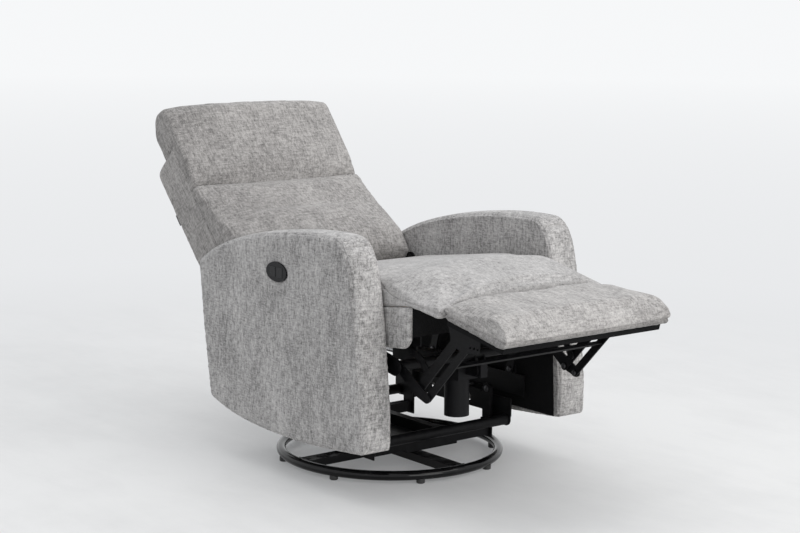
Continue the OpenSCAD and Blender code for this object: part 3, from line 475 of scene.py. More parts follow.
def soft_blank(name, node, voxel, rounds=5, wrapped=None):
    """An even quad skin in the shape of a soft CAD solid. It keeps the solid's places and
    directions, so that seams can be found again on the finished piece. A second mesh that
    the skin wraps too may be given."""
    mesh = nodes[node].data.copy()
    mesh.materials.clear()
    form = bmesh.new()
    form.from_mesh(mesh)
    if wrapped:
        form.from_mesh(wrapped)
    bmesh.ops.remove_doubles(form, verts=form.verts, dist=0.02 * MM)
    form.to_mesh(mesh)
    form.free()
    obj = added(name, mesh)
    even = obj.modifiers.new("even", "REMESH")
    even.mode, even.voxel_size = "VOXEL", voxel
    mesh = plain_mesh(obj)
    relax(mesh, rounds)
    keep(mesh, "rest", points_of(mesh))
    keep(mesh, "facing", normals_of(mesh))
    return obj


def keep_painted_shading(obj, amount):
    """Painted light and shade: how much lighter (above 0) or darker a cover is painted at each point."""
    made = obj.data.attributes.new("painted_shading", "FLOAT", "POINT")
    made.data.foreach_set("value", np.asarray(amount, np.float32))


def shift(obj, amount):
    set_points(obj.data, points_of(obj.data) + amount)


def square_up(obj, radius, share):
    """Fills a form's rounded side edges out towards a sharp corner."""
    across = solid_of(obj)[1][:, 0] ** 2
    move_in(obj, -0.41 * radius * share * 4 * across * (1 - across))


def fold(obj, start, end, depth, width):
    """One shallow crease with raised shoulders, from place to place."""
    rest, _ = solid_of(obj)
    a, b = np.array(start), np.array(end)
    along = np.clip((rest - a) @ (b - a) / ((b - a) @ (b - a)), 0, 1)
    gap = np.linalg.norm(rest - a - along[:, None] * (b - a), axis=1)
    fade = np.sin(np.pi * np.clip(along, 0.02, 0.98)) ** 0.7
    shape = np.exp(-(gap / width) ** 2) - 0.45 * np.exp(-((gap - 1.8 * width) / width) ** 2)
    move_in(obj, depth * fade * shape)


def move_in(obj, amount):
    """Moves the skin inwards, by one amount or one for each point."""
    mesh = obj.data
    set_points(mesh, points_of(mesh) - normals_of(mesh) * np.reshape(amount, (-1, 1)))


def inflate(obj, sewn, swell, limit, rounds=240):
    """Blows the skin up like a membrane held at its seams, then limits it."""
    mesh = obj.data
    a, b, count = neighbours(mesh)
    size = len(count)
    lift = np.zeros(size)
    for _ in range(rounds):
        lift = (np.bincount(a, lift[b], size) + np.bincount(b, lift[a], size)) / count + swell
        lift[sewn] = 0
    limit = np.maximum(limit, 1e-6)
    move_in(obj, -limit * np.tanh(lift / limit))


def subdivide(obj):
    finer = obj.modifiers.new("finer", "SUBSURF")
    finer.levels = finer.render_levels = 1
    return plain_mesh(obj)


# ------------ seams

# A seam gives, for rest places and directions, the distance from it, the share of it that
# is there, and the run along it.

def edge_seam(radius, at_angle=45.0, where=None):
    """Seam along a form's rounded side edges, found by how far the skin has turned."""
    def seam(rest, facing):
        turned = np.degrees(np.arccos(np.clip(np.abs(facing[:, 0]), 0, 1)))
        away = np.radians(turned - at_angle) * radius
        share = np.ones(len(rest)) if where is None else where(rest, facing)
        return away, share, rest[:, 1] + rest[:, 2]
    return seam


def cross_seam(place, heading, where):
    """Seam where a plane at right angles to the side view cuts the skin."""
    across = np.array(heading, float) / np.linalg.norm(heading)

    def seam(rest, facing):
        away = (rest[:, 1] - place[0]) * across[0] + (rest[:, 2] - place[1]) * across[1]
        return away, where(rest, facing), rest[:, 0]
    return seam


def on_seams(seams, rest, facing, reach):
    """The points that lie within reach of a seam."""
    held = np.zeros(len(rest), bool)
    for seam in seams:
        away, share, _ = seam(rest, facing)
        held |= (np.abs(away) < reach) & (share > 0.5)
    return held


def draw_seams(obj, seams, depth, width=2.8 * MM, gather=0.5 * MM):
    """Pulls the finished skin in along its seams, with small gathers beside them."""
    rest, facing = solid_of(obj)
    drop, folds_all = np.zeros(len(rest)), np.zeros(len(rest))
    draw = np.random.default_rng(11)
    patchy = 0.5 + 0.5 * ripple(rest, 19, 7)
    for seam in seams:
        away, share, run = seam(rest, facing)
        gap = np.abs(away)
        line = depth * np.exp(-(gap / width) ** 2) + 0.3 * depth * np.exp(-gap / (9 * MM))
        drop = np.maximum(drop, share * line)
        folds = np.zeros(len(rest))
        for pitch in (13, 19, 29, 43):
            bend, phase = draw.uniform(-0.5, 0.5), draw.uniform(0, 6.28)
            folds += np.sin((run + bend * away) * 2 * math.pi / (pitch * MM) + phase) / 2.4
        folds_all += share * gather * folds * patchy * np.exp(-((gap - 6 * MM) / (13 * MM)) ** 2)
    move_in(obj, drop + folds_all)


def pucker(obj, place, reach, depth, pitch, along):
    """Short radiating folds where a seam ends, round one place."""
    off = solid_of(obj)[0] - np.array(place)
    near = np.exp(-(np.linalg.norm(off, axis=1) / reach) ** 2)
    run = off @ np.array(along)
    move_in(obj, depth * near * (0.5 + 0.5 * np.sin(run * 2 * math.pi / pitch + 9 * off[:, 0])))


def uneven(obj, height, scale, seed):
    """Gentle unevenness of stuffed foam."""
    move_in(obj, ripple(solid_of(obj)[0], scale, seed) * height)


# ------------ pressure cloth

def pressure_cloth(obj, held, pressure, slack):
    """Cloth that is blown up from inside and held where it is sewn or tacked."""
    group = obj.vertex_groups.new(name="sewn")
    group.add([int(i) for i in np.nonzero(held)[0]], 1.0, "REPLACE")
    cloth = obj.modifiers.new("cover", "CLOTH")
    cover = cloth.settings
    cover.quality = 4
    cover.mass = 0.3
    cover.tension_stiffness = cover.compression_stiffness = 12
    cover.shear_stiffness = 4
    cover.bending_stiffness = 0.6
    cover.use_pressure = True
    cover.uniform_pressure_force = pressure
    cover.shrink_min = -slack
    cover.vertex_group_mass = group.name
    cover.effector_weights.gravity = 0
    cloth.collision_settings.use_collision = False


def run_cloth(covers, frames=20):
    """Steps all the covers together, then limits how far each point went."""
    scene.frame_start, scene.frame_end = 1, frames
    for step in range(1, frames + 1):
        scene.frame_set(step)
    graph = bpy.context.evaluated_depsgraph_get()
    for obj, cap in covers:
        mesh = obj.data
        before = points_of(mesh)
        move = points_of(obj.evaluated_get(graph).data) - before
        far = np.linalg.norm(move, axis=1)
        limit = np.maximum(cap(*solid_of(obj)), 1e-6)
        move *= (limit * np.tanh(far / limit) / np.maximum(far, 1e-9))[:, None]
        obj.modifiers.clear()
        obj.vertex_groups.clear()
        set_points(mesh, before + move)
        relax(mesh, 1, 0.4)
    scene.frame_set(1)


# ------------ places shared by the covers

ARM_IN, ARM_OUT = 0.2785, 0.3695
ARM_FRONT, ARM_GROUND, ARM_DEPTH, ARM_HEIGHT = -0.362, 0.115, 0.722, 0.525
BACK_PIN = (0.240, 0.478)
BACK_SEAM, BACK_HALF = 0.346, 0.26
PAD_ROOT, PAD_LONG, PAD_BORDER = (-0.5352, 0.530), 0.228, 0.016
NOSE_Y, NOSE_LOW, NOSE_HIGH, SEAT_HALF = -0.534, 0.477, 0.530, 0.275
NOSE_REAR, BORDER_END = -0.418, -0.25
SWITCH_PLACE, SWITCH_HALF, SWITCH_BED = (-0.006, 0.531), (0.044, 0.025), 0.3565


def back_axes(vectors, origin=BACK_PIN):
    """Up the back from its hinge, and towards its front."""
    y, z = vectors[:, 1] - origin[0], vectors[:, 2] - origin[1]
    return y * BACK_COS + z * BACK_SIN, z * BACK_COS - y * BACK_SIN


def back_facing(facing):
    """How far directions point up the back, and towards its front."""
    return back_axes(facing, (0, 0))


def back_place(up, front):
    """The place (y, z) that lies so far up the back and towards its front."""
    return BACK_PIN[0] + up * BACK_COS - front * BACK_SIN, BACK_PIN[1] + up * BACK_SIN + front * BACK_COS


def shift_in_back(obj, up, front):
    """Moves points by amounts up the back and towards its front."""
    shift(obj, np.stack([np.zeros(len(up)), up * BACK_COS - front * BACK_SIN,
                         up * BACK_SIN + front * BACK_COS], 1))


def pad_axes(vectors, origin=PAD_ROOT):
    """Out along the footrest from its root, and down from its top."""
    y, z = vectors[:, 1] - origin[0], vectors[:, 2] - origin[1]
    return -(y * PAD_COS + z * PAD_SIN), y * PAD_SIN - z * PAD_COS


def pad_place(out, down):
    return PAD_ROOT[0] - out * PAD_COS + down * PAD_SIN, PAD_ROOT[1] - out * PAD_SIN - down * PAD_COS


def pad_under(out):
    """Depth of the pad's underside, thinner towards its outer end."""
    return (52 - 22 * out / PAD_LONG) * MM


def arm_place(depth_share, height_share):
    """The place (y, z) at those shares of the arm's depth and height."""
    return ARM_FRONT + depth_share * ARM_DEPTH, ARM_GROUND + height_share * ARM_HEIGHT


def sides_of(facing):
    """Share of a place that belongs to the chair's sides."""
    return ease(np.abs(facing[:, 0]), 0.5, 0.95)


# ------------ seat, footrest and back covers

def seat_seams():
    """Border line along the nose, rising to the arms over the side boards."""
    def between(first, last):
        return lambda rest, facing: (
            (np.abs(facing[:, 0]) > 0.3) & (rest[:, 1] >= first) & (rest[:, 1] < last)).astype(float)
    return [cross_seam((NOSE_Y, NOSE_LOW + 14 * MM), (-0.13, 1.0), between(-1, NOSE_REAR)),
            cross_seam((NOSE_REAR, 0.506), (-0.31, 0.95), between(NOSE_REAR, BORDER_END))]


# A form shapes a skin, and its cap says how far the cloth may then swell at each place.

def seat_cap(rest, facing):
    top = ease(facing[:, 2], -0.2, 0.35) * (1 - sides_of(facing))
    rear = ease(rest[:, 1], 0.12, 0.20)
    nose = ease(-facing[:, 1], 0.3, 0.9) * ease(-rest[:, 1], 0.44, 0.50)
    return (10 * MM * top * (1 - rear) + 1.0 * MM) * (1 - 0.85 * nose) + 0.2 * MM


def seat_form(obj):
    """Rolls the seat's top down towards its sides in front of the arms, and closes its
    lower side edges onto the side boards."""
    rest, facing = solid_of(obj)
    edge = 1 - ease(SEAT_HALF - np.abs(rest[:, 0]), 0.0, 0.095)
    front = ease(-rest[:, 1], 0.20, 0.40)
    high = ease(rest[:, 2], NOSE_LOW + 20 * MM, NOSE_HIGH + 10 * MM)
    drop = 27 * MM * edge ** 1.4 * front * high
    shift(obj, np.outer(drop, (0, 0, -1)))
    square_up(obj, 16 * MM, 1.1 * ease(-facing[:, 2], -0.1, 0.2))


def lumbar_cap(rest, facing):
    _, lean = back_facing(facing)
    out = ease(lean, -0.1, 0.5) * (1 - sides_of(facing))
    return 10 * MM * out + 1.5 * MM * sides_of(facing) + 0.2 * MM


def lumbar_form(obj):
    """Fuller between the lumbar bulge and the cross seam, closed at its rear edges."""
    rest, facing = solid_of(obj)
    up, front = back_axes(rest)
    rise, lean = back_facing(facing)
    fuller = 15 * MM * np.exp(-((up - 0.205) / 0.085) ** 2) * ease(front, -0.085, -0.045)
    meet = ease(up, 0.326, 0.342) * ease(-front, 0.030, 0.045)
    shift_in_back(obj, 3 * MM * meet, fuller)
    hidden = np.maximum(ease(-lean, -0.1, 0.3), ease(-rise, 0.1, 0.5))
    square_up(obj, 16 * MM, np.maximum(1.15 * hidden, 0.35))


def head_cap(rest, facing):
    up, _ = back_axes(rest)
    rise, lean = back_facing(facing)
    high = up > 0.48
    out = np.maximum(ease(lean, -0.1, 0.5), ease(rise, 0.2, 0.7) * high)
    rear = ease(-lean, 0.5, 0.9) * high
    return 9 * MM * out * (1 - sides_of(facing)) + 4.5 * MM * np.maximum(sides_of(facing), rear) + 0.2 * MM


def head_form(obj):
    """Crowned along its top; its sides reach back and down over the rear section."""
    rest, facing = solid_of(obj)
    up, front = back_axes(rest)
    rise, lean = back_facing(facing)
    side = ease(np.abs(rest[:, 0]), 0.236, 0.262)
    below = 1 - ease(up, 0.470, 0.500)
    back_over = side * below * ease(-front, 0.055, 0.088)
    down_over = ease(-front, 0.088, 0.141) * (1 - ease(up, 0.490, 0.565))
    corner = back_over * (1 - ease(up, 0.346, 0.390))
    crown = 1.5 * ease(up, 0.55, 0.61) * (1 - (np.abs(rest[:, 0]) / 0.31) ** 4)
    meet = (1 - ease(up, 0.350, 0.366)) * ease(-front, 0.030, 0.045)
    shift_in_back(obj, 9 * MM * crown - 24 * MM * down_over - 10 * MM * corner - 3 * MM * meet,
                  -27 * MM * back_over - 5 * MM * ease(-front, 0.11, 0.141))
    closed = np.maximum(ease(-lean, 0.0, 0.4), ease(-rise, 0.1, 0.5)) * (up < 0.60)
    square_up(obj, 14 * MM, np.maximum(1.0 * closed, 0.45))


def back_seams(radius, at_angle, way):
    """Seams along the side edges of a back piece, at its front (1) or its rear (-1)."""
    def where(rest, facing):
        return ease(way * back_facing(facing)[1], 0.0, 0.3)
    return [edge_seam(radius, at_angle, where)]


def pad_cap(rest, facing):
    _, down = pad_axes(facing, (0, 0))
    out = ease(-down, -0.1, 0.5) * (1 - sides_of(facing))
    return 8 * MM * out + 1.5 * MM * sides_of(facing) + 0.3 * MM


def pad_seams():
    def border(rest, facing):
        out, down = pad_axes(rest)
        outer = (np.abs(facing[:, 0]) > 0.3) | (out > 0.21)
        return pad_under(out) - PAD_BORDER - down, (outer & (out > 0.004)).astype(float), rest[:, 0] + out
    return [border]


def pad_border_shade(rest):
    """Painted shade: the strip under the border seam is darkened for the shade on its front- and down-facing
    side.
    """
    out, down = pad_axes(rest)
    return -0.36 * ease(down - pad_under(out) + PAD_BORDER, -1 * MM, 2.5 * MM)


def pad_form(obj):
    """Rolls the pad's top down towards its sides at the root, and sharpens its outer end."""
    rest, _ = solid_of(obj)
    out, down = pad_axes(rest)
    edge = 1 - ease(0.267 - np.abs(rest[:, 0]), 0.0, 0.07)
    high = 1 - ease(down, 0.0, 0.026)
    root = 1 - ease(out, 0.03, 0.15)
    shift(obj, np.outer(10 * MM * edge ** 1.4 * high * root, (0, 0, -1)))
    square_up(obj, 10 * MM, 0.5 + 0.8 * ease(out, 0.08, 0.20))
    corner = ease(np.abs(rest[:, 0]), 0.15, 0.26) * ease(out, 0.08, 0.20) * high
    shift(obj, np.outer(6 * MM * corner, (0, -0.3, 1)))


# Voxel size and the depth, width and gather of the drawn seams are in millimetres
COVERS = {
    "seat": dict(node="seat_cushion", voxel=6.5, seams=seat_seams(), cap=seat_cap, form=seat_form,
                 slack=0.006, drawn=(2.6, 2.8, 0.8)),
    "lumbar": dict(node="lumbar_cushion", voxel=6.0, seams=back_seams(16 * MM, 48, 1), cap=lumbar_cap,
                   form=lumbar_form, slack=0.008, drawn=(1.8, 2.8, 0.5)),
    "head": dict(node="head_cushion", voxel=6.0, seams=back_seams(14 * MM, 48, 1), cap=head_cap,
                 form=head_form, slack=0.006, drawn=(0.7, 4.0, 0.5)),
    "footrest": dict(node="footrest_pad", voxel=5.5, seams=pad_seams(), cap=pad_cap, form=pad_form,
                     slack=0.006, drawn=(4.0, 2.8, 0.8)),
}
CLOTH_PRESSURE, PAINTED_LIGHT_ACROSS = 3.0, 0.1
soft = {}
for key, cover in COVERS.items():
    obj = soft[key] = soft_blank(f"{key}_cover", cover["node"], cover["voxel"] * MM, 4)
    cover["form"](obj)
    rest, facing = solid_of(obj)
    # Painted light and shade: the footrest's border strip is darkened, and the lumbar and head are painted
    # lighter towards +x and darker towards -x, as if lit from that side.
    if key == "footrest":
        keep_painted_shading(obj, pad_border_shade(rest))
    elif key != "seat":
        keep_painted_shading(obj, PAINTED_LIGHT_ACROSS * rest[:, 0] / BACK_HALF)
    reach = cover["cap"](rest, facing)
    move_in(obj, 0.3 * reach)
    held = on_seams(cover["seams"], rest, facing, 0.55 * cover["voxel"] * MM) | (reach < 0.8 * MM)
    pressure_cloth(obj, held, CLOTH_PRESSURE, cover["slack"])
run_cloth([(soft[key], cover["cap"]) for key, cover in COVERS.items()])
for key, cover in COVERS.items():
    subdivide(soft[key])
    draw_seams(soft[key], cover["seams"], *(size * MM for size in cover["drawn"]))

for side in (-1, 1):
    place = (side * 0.262, *back_place(BACK_SEAM - 12 * MM, -0.062))
    pucker(soft["lumbar"], place, 26 * MM, 2.0 * MM, 15 * MM, (0.9, 0.3, 0.3))
    place = (side * 0.258, *back_place(BACK_SEAM + 14 * MM, -0.060))
    pucker(soft["head"], place, 30 * MM, 2.6 * MM, 17 * MM, (0.8, -0.4, -0.4))

# Creases: start and end in the scene, along the footrest or up the back, and depth in mm
SEAT_CREASES = (
    ((-0.09, -0.33, 0.57), (0.05, -0.41, 0.56), 2.4), ((0.0, -0.27, 0.575), (0.12, -0.36, 0.57), 1.8),
    ((-0.20, -0.40, 0.55), (-0.10, -0.47, 0.545), 2.0), ((0.10, -0.44, 0.55), (0.20, -0.37, 0.56), 1.5))
PAD_CREASES = (
    ((-0.24, 0.03), (-0.15, 0.11), 2.2), ((-0.19, 0.02), (-0.12, 0.07), 1.8),
    ((0.05, 0.03), (0.13, 0.09), 1.5), ((-0.05, 0.02), (-0.01, 0.08), 1.4))
LUMBAR_CREASES = (
    ((-0.24, 0.31), (-0.19, 0.20), 2.2), ((-0.21, 0.33), (-0.15, 0.24), 1.8),
    ((0.23, 0.30), (0.19, 0.19), 1.8))
for start, end, depth in SEAT_CREASES:
    fold(soft["seat"], start, end, depth * MM, 7 * MM)
for (x0, out0), (x1, out1), depth in PAD_CREASES:
    start, end = (x0, *pad_place(out0, -0.008)), (x1, *pad_place(out1, -0.012))
    fold(soft["footrest"], start, end, depth * MM, 6.5 * MM)
for (x0, up0), (x1, up1), depth in LUMBAR_CREASES:
    start, end = (x0, *back_place(up0, -0.045)), (x1, *back_place(up1, -0.02))
    fold(soft["lumbar"], start, end, depth * MM, 7 * MM)


def cover_done(obj, body, node, finish):
    """Last step of a cover: its material, and what it rides on and replaces."""
    mesh = obj.data
    for name in ("rest", "facing"):
        mesh.attributes.remove(mesh.attributes[name])
    mesh.polygons.foreach_set("use_smooth", np.ones(len(mesh.polygons), bool))
    mesh.materials.clear()
    mesh.materials.append(FINISH[finish])
    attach(obj, body)
    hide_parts(node)


# ------------ arms, back panel and seat sides

def arm_seams():
    strip_end = cross_seam(arm_place(0.105, 0.985), (0.80, 0.60), lambda rest, facing: (
        (rest[:, 2] > 0.56) & (facing[:, 2] > 0.15) & (np.abs(facing[:, 0]) < 0.72)).astype(float))
    return [edge_seam(14 * MM), strip_end]


def cover_arm(side):
    """Fuller along its rim, flat inside, and with a bed for the switch plate in the right arm."""
    obj = soft_blank(f"arm_cover_{side}", f"arm_{side}", 5 * MM, 4)
    rest, facing = solid_of(obj)
    seams = arm_seams()
    inner = ease(ARM_IN + 8 * MM - np.abs(rest[:, 0]), 0, 8 * MM)
    rim = 1 - ease(np.abs(facing[:, 0]), 0.75, 0.95)
    rim *= 1 - 0.8 * ease(facing[:, 2], 0.5, 0.9)
    # Painted shade: the side panels are darkened against the top strip and front panel, for the lesser light
    # that falls on the sides.
    keep_painted_shading(obj, 0.07 * ease(-np.abs(facing[:, 0]), -0.74, -0.66) - 0.07)
    square_up(obj, 14 * MM, 0.8)
    move_in(obj, -2.6 * MM * rim)
    switch = np.hypot(rest[:, 1] - SWITCH_PLACE[0], rest[:, 2] - SWITCH_PLACE[1])
    limit = (2.2 + 1.4 * rim) * MM * (1 - inner) * ease(rest[:, 2], 0.11, 0.19)
    limit *= 0.1 + 0.9 * ease(switch, 0.045, 0.10)
    inflate(obj, on_seams(seams, rest, facing, 3.2 * MM), 0.05 * MM, limit)
    subdivide(obj)
    uneven(obj, 0.5 * MM, 16, 5)
    draw_seams(obj, seams, 3.2 * MM, 2.2 * MM, 0.6 * MM)
    points = points_of(obj.data)
    across = np.maximum(np.abs(points[:, 0]), ARM_IN - 0.2 * MM)
    if side == "right":
        plate = np.hypot(*((points[:, 1 + k] - SWITCH_PLACE[k]) / SWITCH_HALF[k] for k in (0, 1)))
        deep = (1 - ease(plate, 0.86, 0.99)) * (across > 0.34)
        across += deep * (np.minimum(across, SWITCH_BED) - across)
    points[:, 0] = np.sign(points[:, 0]) * across
    set_points(obj.data, points)
    return obj


def back_filling():
    """A plain block inside the rear section that makes its hidden front level."""
    corners = [(x, *back_place(up, front)) for x in (-0.25, 0.25) for up in (0.070, 0.487)
               for front in (-0.185, -0.1145)]
    mesh = bpy.data.meshes.new("back_filling")
    faces = [(0, 1, 3, 2), (4, 6, 7, 5), (0, 4, 5, 1), (2, 3, 7, 6), (0, 2, 6, 4), (1, 5, 7, 3)]
    mesh.from_pydata(corners, [], faces)
    return mesh


def cover_back_panel():
    """Fuller at its rear than the solid, closed at its front edges."""
    obj = soft_blank("back_panel_cover", "back_shell", 6 * MM, 4, back_filling())
    rest, facing = solid_of(obj)
    up, front = back_axes(rest)
    _, lean = back_facing(facing)
    fuller = ease(-front, 0.13, 0.20) * ease(up, 0.08, 0.20)
    swell = (6 - 3 * ease(up, 0.3, 0.45)) * MM
    shift_in_back(obj, 2 * MM * ease(up, 0.40, 0.49), -swell * fuller)
    square_up(obj, 14 * MM, 1.1 * ease(lean, -0.1, 0.3) + 0.3 * ease(-lean, 0.0, 0.4))
    rear = ease(-lean, 0.1, 0.5)
    seams = back_seams(15 * MM, 50, -1)
    limit = (0.4 + 3.5 * rear) * MM
    inflate(obj, on_seams(seams, rest, facing, 4 * MM), 0.05 * MM, limit)
    subdivide(obj)
    uneven(obj, 0.7 * MM, 16, 8)
    draw_seams(obj, seams, 2.2 * MM)
    return obj


def cover_seat_side(side):
    obj = soft_blank(f"seat_side_cover_{side}", f"seat_side_{side}", 3.2 * MM, 3)
    uneven(obj, 0.4 * MM, 24, 3)
    return obj


ARM_SKINS = {side: cover_arm(side) for side in ("left", "right")}
BACK_SKIN = cover_back_panel()
SIDE_SKINS = {side: cover_seat_side(side) for side in ("left", "right")}


# ------------ repeated details

class Rule(Graph):
    """Geometry Nodes with named size inputs."""
    prefix = "GeometryNode"

    def __init__(self, name, **sizes):
        super().__init__(bpy.data.node_groups.new(name, "GeometryNodeTree"))
        for way in ("INPUT", "OUTPUT"):
            self.tree.interface.new_socket("Geometry", in_out=way, socket_type="NodeSocketGeometry")
        self.sizes = {}
        for key, value in sizes.items():
            socket = self.tree.interface.new_socket(key, in_out="INPUT", socket_type="NodeSocketFloat")
            self.sizes[socket.identifier] = value
        self.given = self.tree.nodes.new("NodeGroupInput").outputs
        self.exit = self.tree.nodes.new("NodeGroupOutput")

    def vector(self, x, y, z):
        return self.node("ShaderNodeCombineXYZ", {"X": x, "Y": y, "Z": z}).outputs[0]

    def ball(self, sides, rings):
        return self.node("MeshUVSphere", {"Segments": sides, "Rings": rings, "Radius": 1.0}).outputs["Mesh"]

    def moved(self, shape, **how):
        return self.node("Transform", {"Geometry": shape, **how}).outputs[0]

    def joined(self, *shapes):
        made = self.node("JoinGeometry")
        for shape in shapes:
            self.join(shape, made.inputs[0])
        return made.outputs[0]

    def curve(self):
        return self.node("MeshToCurve", {"Mesh": self.given["Geometry"]}).outputs[0]

    def paced(self):
        """Points along the given lines at the given pitch."""
        return self.node("ResampleCurve", {"Curve": self.curve(), "Length": self.given["Pitch"]},
                         mode="LENGTH").outputs[0]

    def facing(self, way):
        return self.node("FunctionNodeAlignRotationToVector", {"Vector": way}, axis="Z").outputs[0]

    def placed(self, points, shape, **how):
        return self.node("InstanceOnPoints", {"Points": points, "Instance": shape, **how}).outputs[0]

    def end(self, shape, finish, smooth=True):
        whole = self.node("RealizeInstances", {"Geometry": shape}).outputs[0]
        shaded = self.node("SetShadeSmooth", {"Geometry": whole, "Shade Smooth": smooth}).outputs[0]
        done = self.node("SetMaterial", {"Geometry": shaded, "Material": FINISH[finish]})
        self.join(done.outputs[0], self.exit.inputs[0])

    def apply(self, obj):
        made = obj.modifiers.new(self.tree.name, "NODES")
        made.node_group = self.tree
        for identifier, value in self.sizes.items():
            made[identifier] = value
        return plain_mesh(obj)


def detail(name, mesh, rule, body, slot):
    obj = added(name, mesh)
    rule.apply(obj)
    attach(obj, body)
    return obj


def spots_mesh(name, spots):
    """Loose points with a facing direction each; spots are in millimetres."""
    mesh = bpy.data.meshes.new(name)
    mesh.from_pydata([tuple(MM * v for v in place) for place, _ in spots], [], [])
    keep(mesh, "aim", [aim for _, aim in spots])
    return mesh


def head_rule(name, radius, height, sides, dome):
    """Rivet domes or hexagon bolt heads, one on every point, facing its aim."""
    rule = Rule(name, Radius=radius * MM, Height=height * MM)
    wide, high = rule.given["Radius"], rule.given["Height"]
    aim = rule.node("InputNamedAttribute", {"Name": "aim"}, data_type="FLOAT_VECTOR").outputs["Attribute"]
    if dome:
        head = rule.moved(rule.ball(sides, 10), Scale=rule.vector(wide, wide, high))
    else:
        flange = rule.node("MeshCone", {"Vertices": 28, "Radius Top": rule.math("MULTIPLY", wide, 1.28),
                                        "Radius Bottom": rule.math("MULTIPLY", wide, 1.45),
                                        "Depth": rule.math("MULTIPLY", high, 0.3)})
        hexagon = rule.node("MeshCylinder", {"Vertices": sides, "Radius": wide, "Depth": high})
        lift = rule.vector(0, 0, rule.math("MULTIPLY", high, 0.5))
        head = rule.joined(flange.outputs["Mesh"], rule.moved(hexagon.outputs["Mesh"], Translation=lift))
    rule.end(rule.placed(rule.given["Geometry"], head, Rotation=rule.facing(aim)), "zinc", dome)
    return rule


def place_heads(rule, by_body):
    for body, spots in by_body.items():
        detail(f"{rule.tree.name}_{body}", spots_mesh("spots", spots), rule, body, "bare_steel")


# Layers of the mechanism from the middle of the chair, in millimetres
LINK_X, OUTER_X, STANCHION_X, SWING_X, CARRIAGE_X = 253, 239, 196, 204, 212
PLATE, HEAD_T, GAP = 4, 1.6, 0.3
HANG_Y, HANG_TOP, HANG_LOW = 165, 184, 112
ELBOW, FOOT, PARALLEL = (-415, 285), (-555.0, 432.0), (-38, -12)
SEAT_LINKS, SEAT_LINK_FOOT, SEAT_LINK_RUN, SEAT_LINK_TOP = (-190, 130), 235, -33.13, 358.64


def pairs(x, places, facing):
    """Spots at the places (y, z) on both sides of the chair, facing in (-1) or out (1)."""
    return [((side * x, y, z), (side * facing, 0, 0)) for y, z in places for side in (-1, 1)]


def rivets():
    above, below = ([(y, z) for y in (-HANG_Y, HANG_Y)] for z in (HANG_TOP, HANG_LOW))
    inner = [ELBOW, (ELBOW[0] + PARALLEL[0], ELBOW[1] + PARALLEL[1])]
    lower = [FOOT, (FOOT[0] + PARALLEL[0], FOOT[1] + PARALLEL[1])]
    outer, link = OUTER_X - GAP - HEAD_T, LINK_X - GAP - HEAD_T
    by_body = {
        "swivel_base": pairs(STANCHION_X - HEAD_T, above, -1)
        + pairs(SWING_X + PLATE + GAP + HEAD_T, above, 1),
        "carriage": pairs(SWING_X - GAP - HEAD_T, below, -1)
        + pairs(CARRIAGE_X + PLATE + HEAD_T, below, 1)
        + pairs(link, [(y, SEAT_LINK_FOOT) for y in SEAT_LINKS], -1),
        "seat": pairs(link, [(y + SEAT_LINK_RUN, SEAT_LINK_TOP) for y in SEAT_LINKS], -1),
        "foot_drive": pairs(outer, inner, -1),
        "footrest": pairs(outer, lower, -1),
    }
    place_heads(head_rule("rivet_domes", 7.4, 2.0, 20, True), by_body)


def bolts():
    by_body = {
        "base": [((60 * i, 60 * j, 46.4), (0, 0, 1)) for i in (-1, 1) for j in (-1, 1)],
        "carriage": [((side * 236, y, 172), (0, 0, 1)) for side in (-1, 1) for y in (-60, 60, 190)],
    }
    place_heads(head_rule("hexagon_bolts", 5.2, 4.4, 6, False), by_body)


def run_mesh(name, runs):
    """Polylines in metres."""
    mesh = bpy.data.meshes.new(name)
    points, edges = [], []
    for run in runs:
        start = len(points)
        points += [tuple(p) for p in run]
        edges += [(start + i, start + i + 1) for i in range(len(run) - 1)]
    mesh.from_pydata(points, edges, [])
    return mesh


def cast_run(obj, origins, ways, lift=0.25 * MM):
    """Places on the outside of a finished cover, seen from inside it."""
    mesh = obj.data
    corners = [v.co.copy() for v in mesh.vertices]
    tree = BVHTree.FromPolygons(corners, [tuple(p.vertices) for p in mesh.polygons])
    run = []
    for origin, way in zip(origins, ways):
        place = tree.ray_cast(Vector(origin), Vector(way))[0]
        if place:
            run.append(place + Vector(way) * lift)
    return run


SPRINGS, SPRING_PITCH, SPRING_WAVES, WAVE_STEPS = 5, 87.98 * MM, 7, 24
WAVE_WIDTH, WAVE_BULGE, WAVE_FLATNESS, SPRING_SAG = 22 * MM, 7 * MM, 1.9, 4 * MM


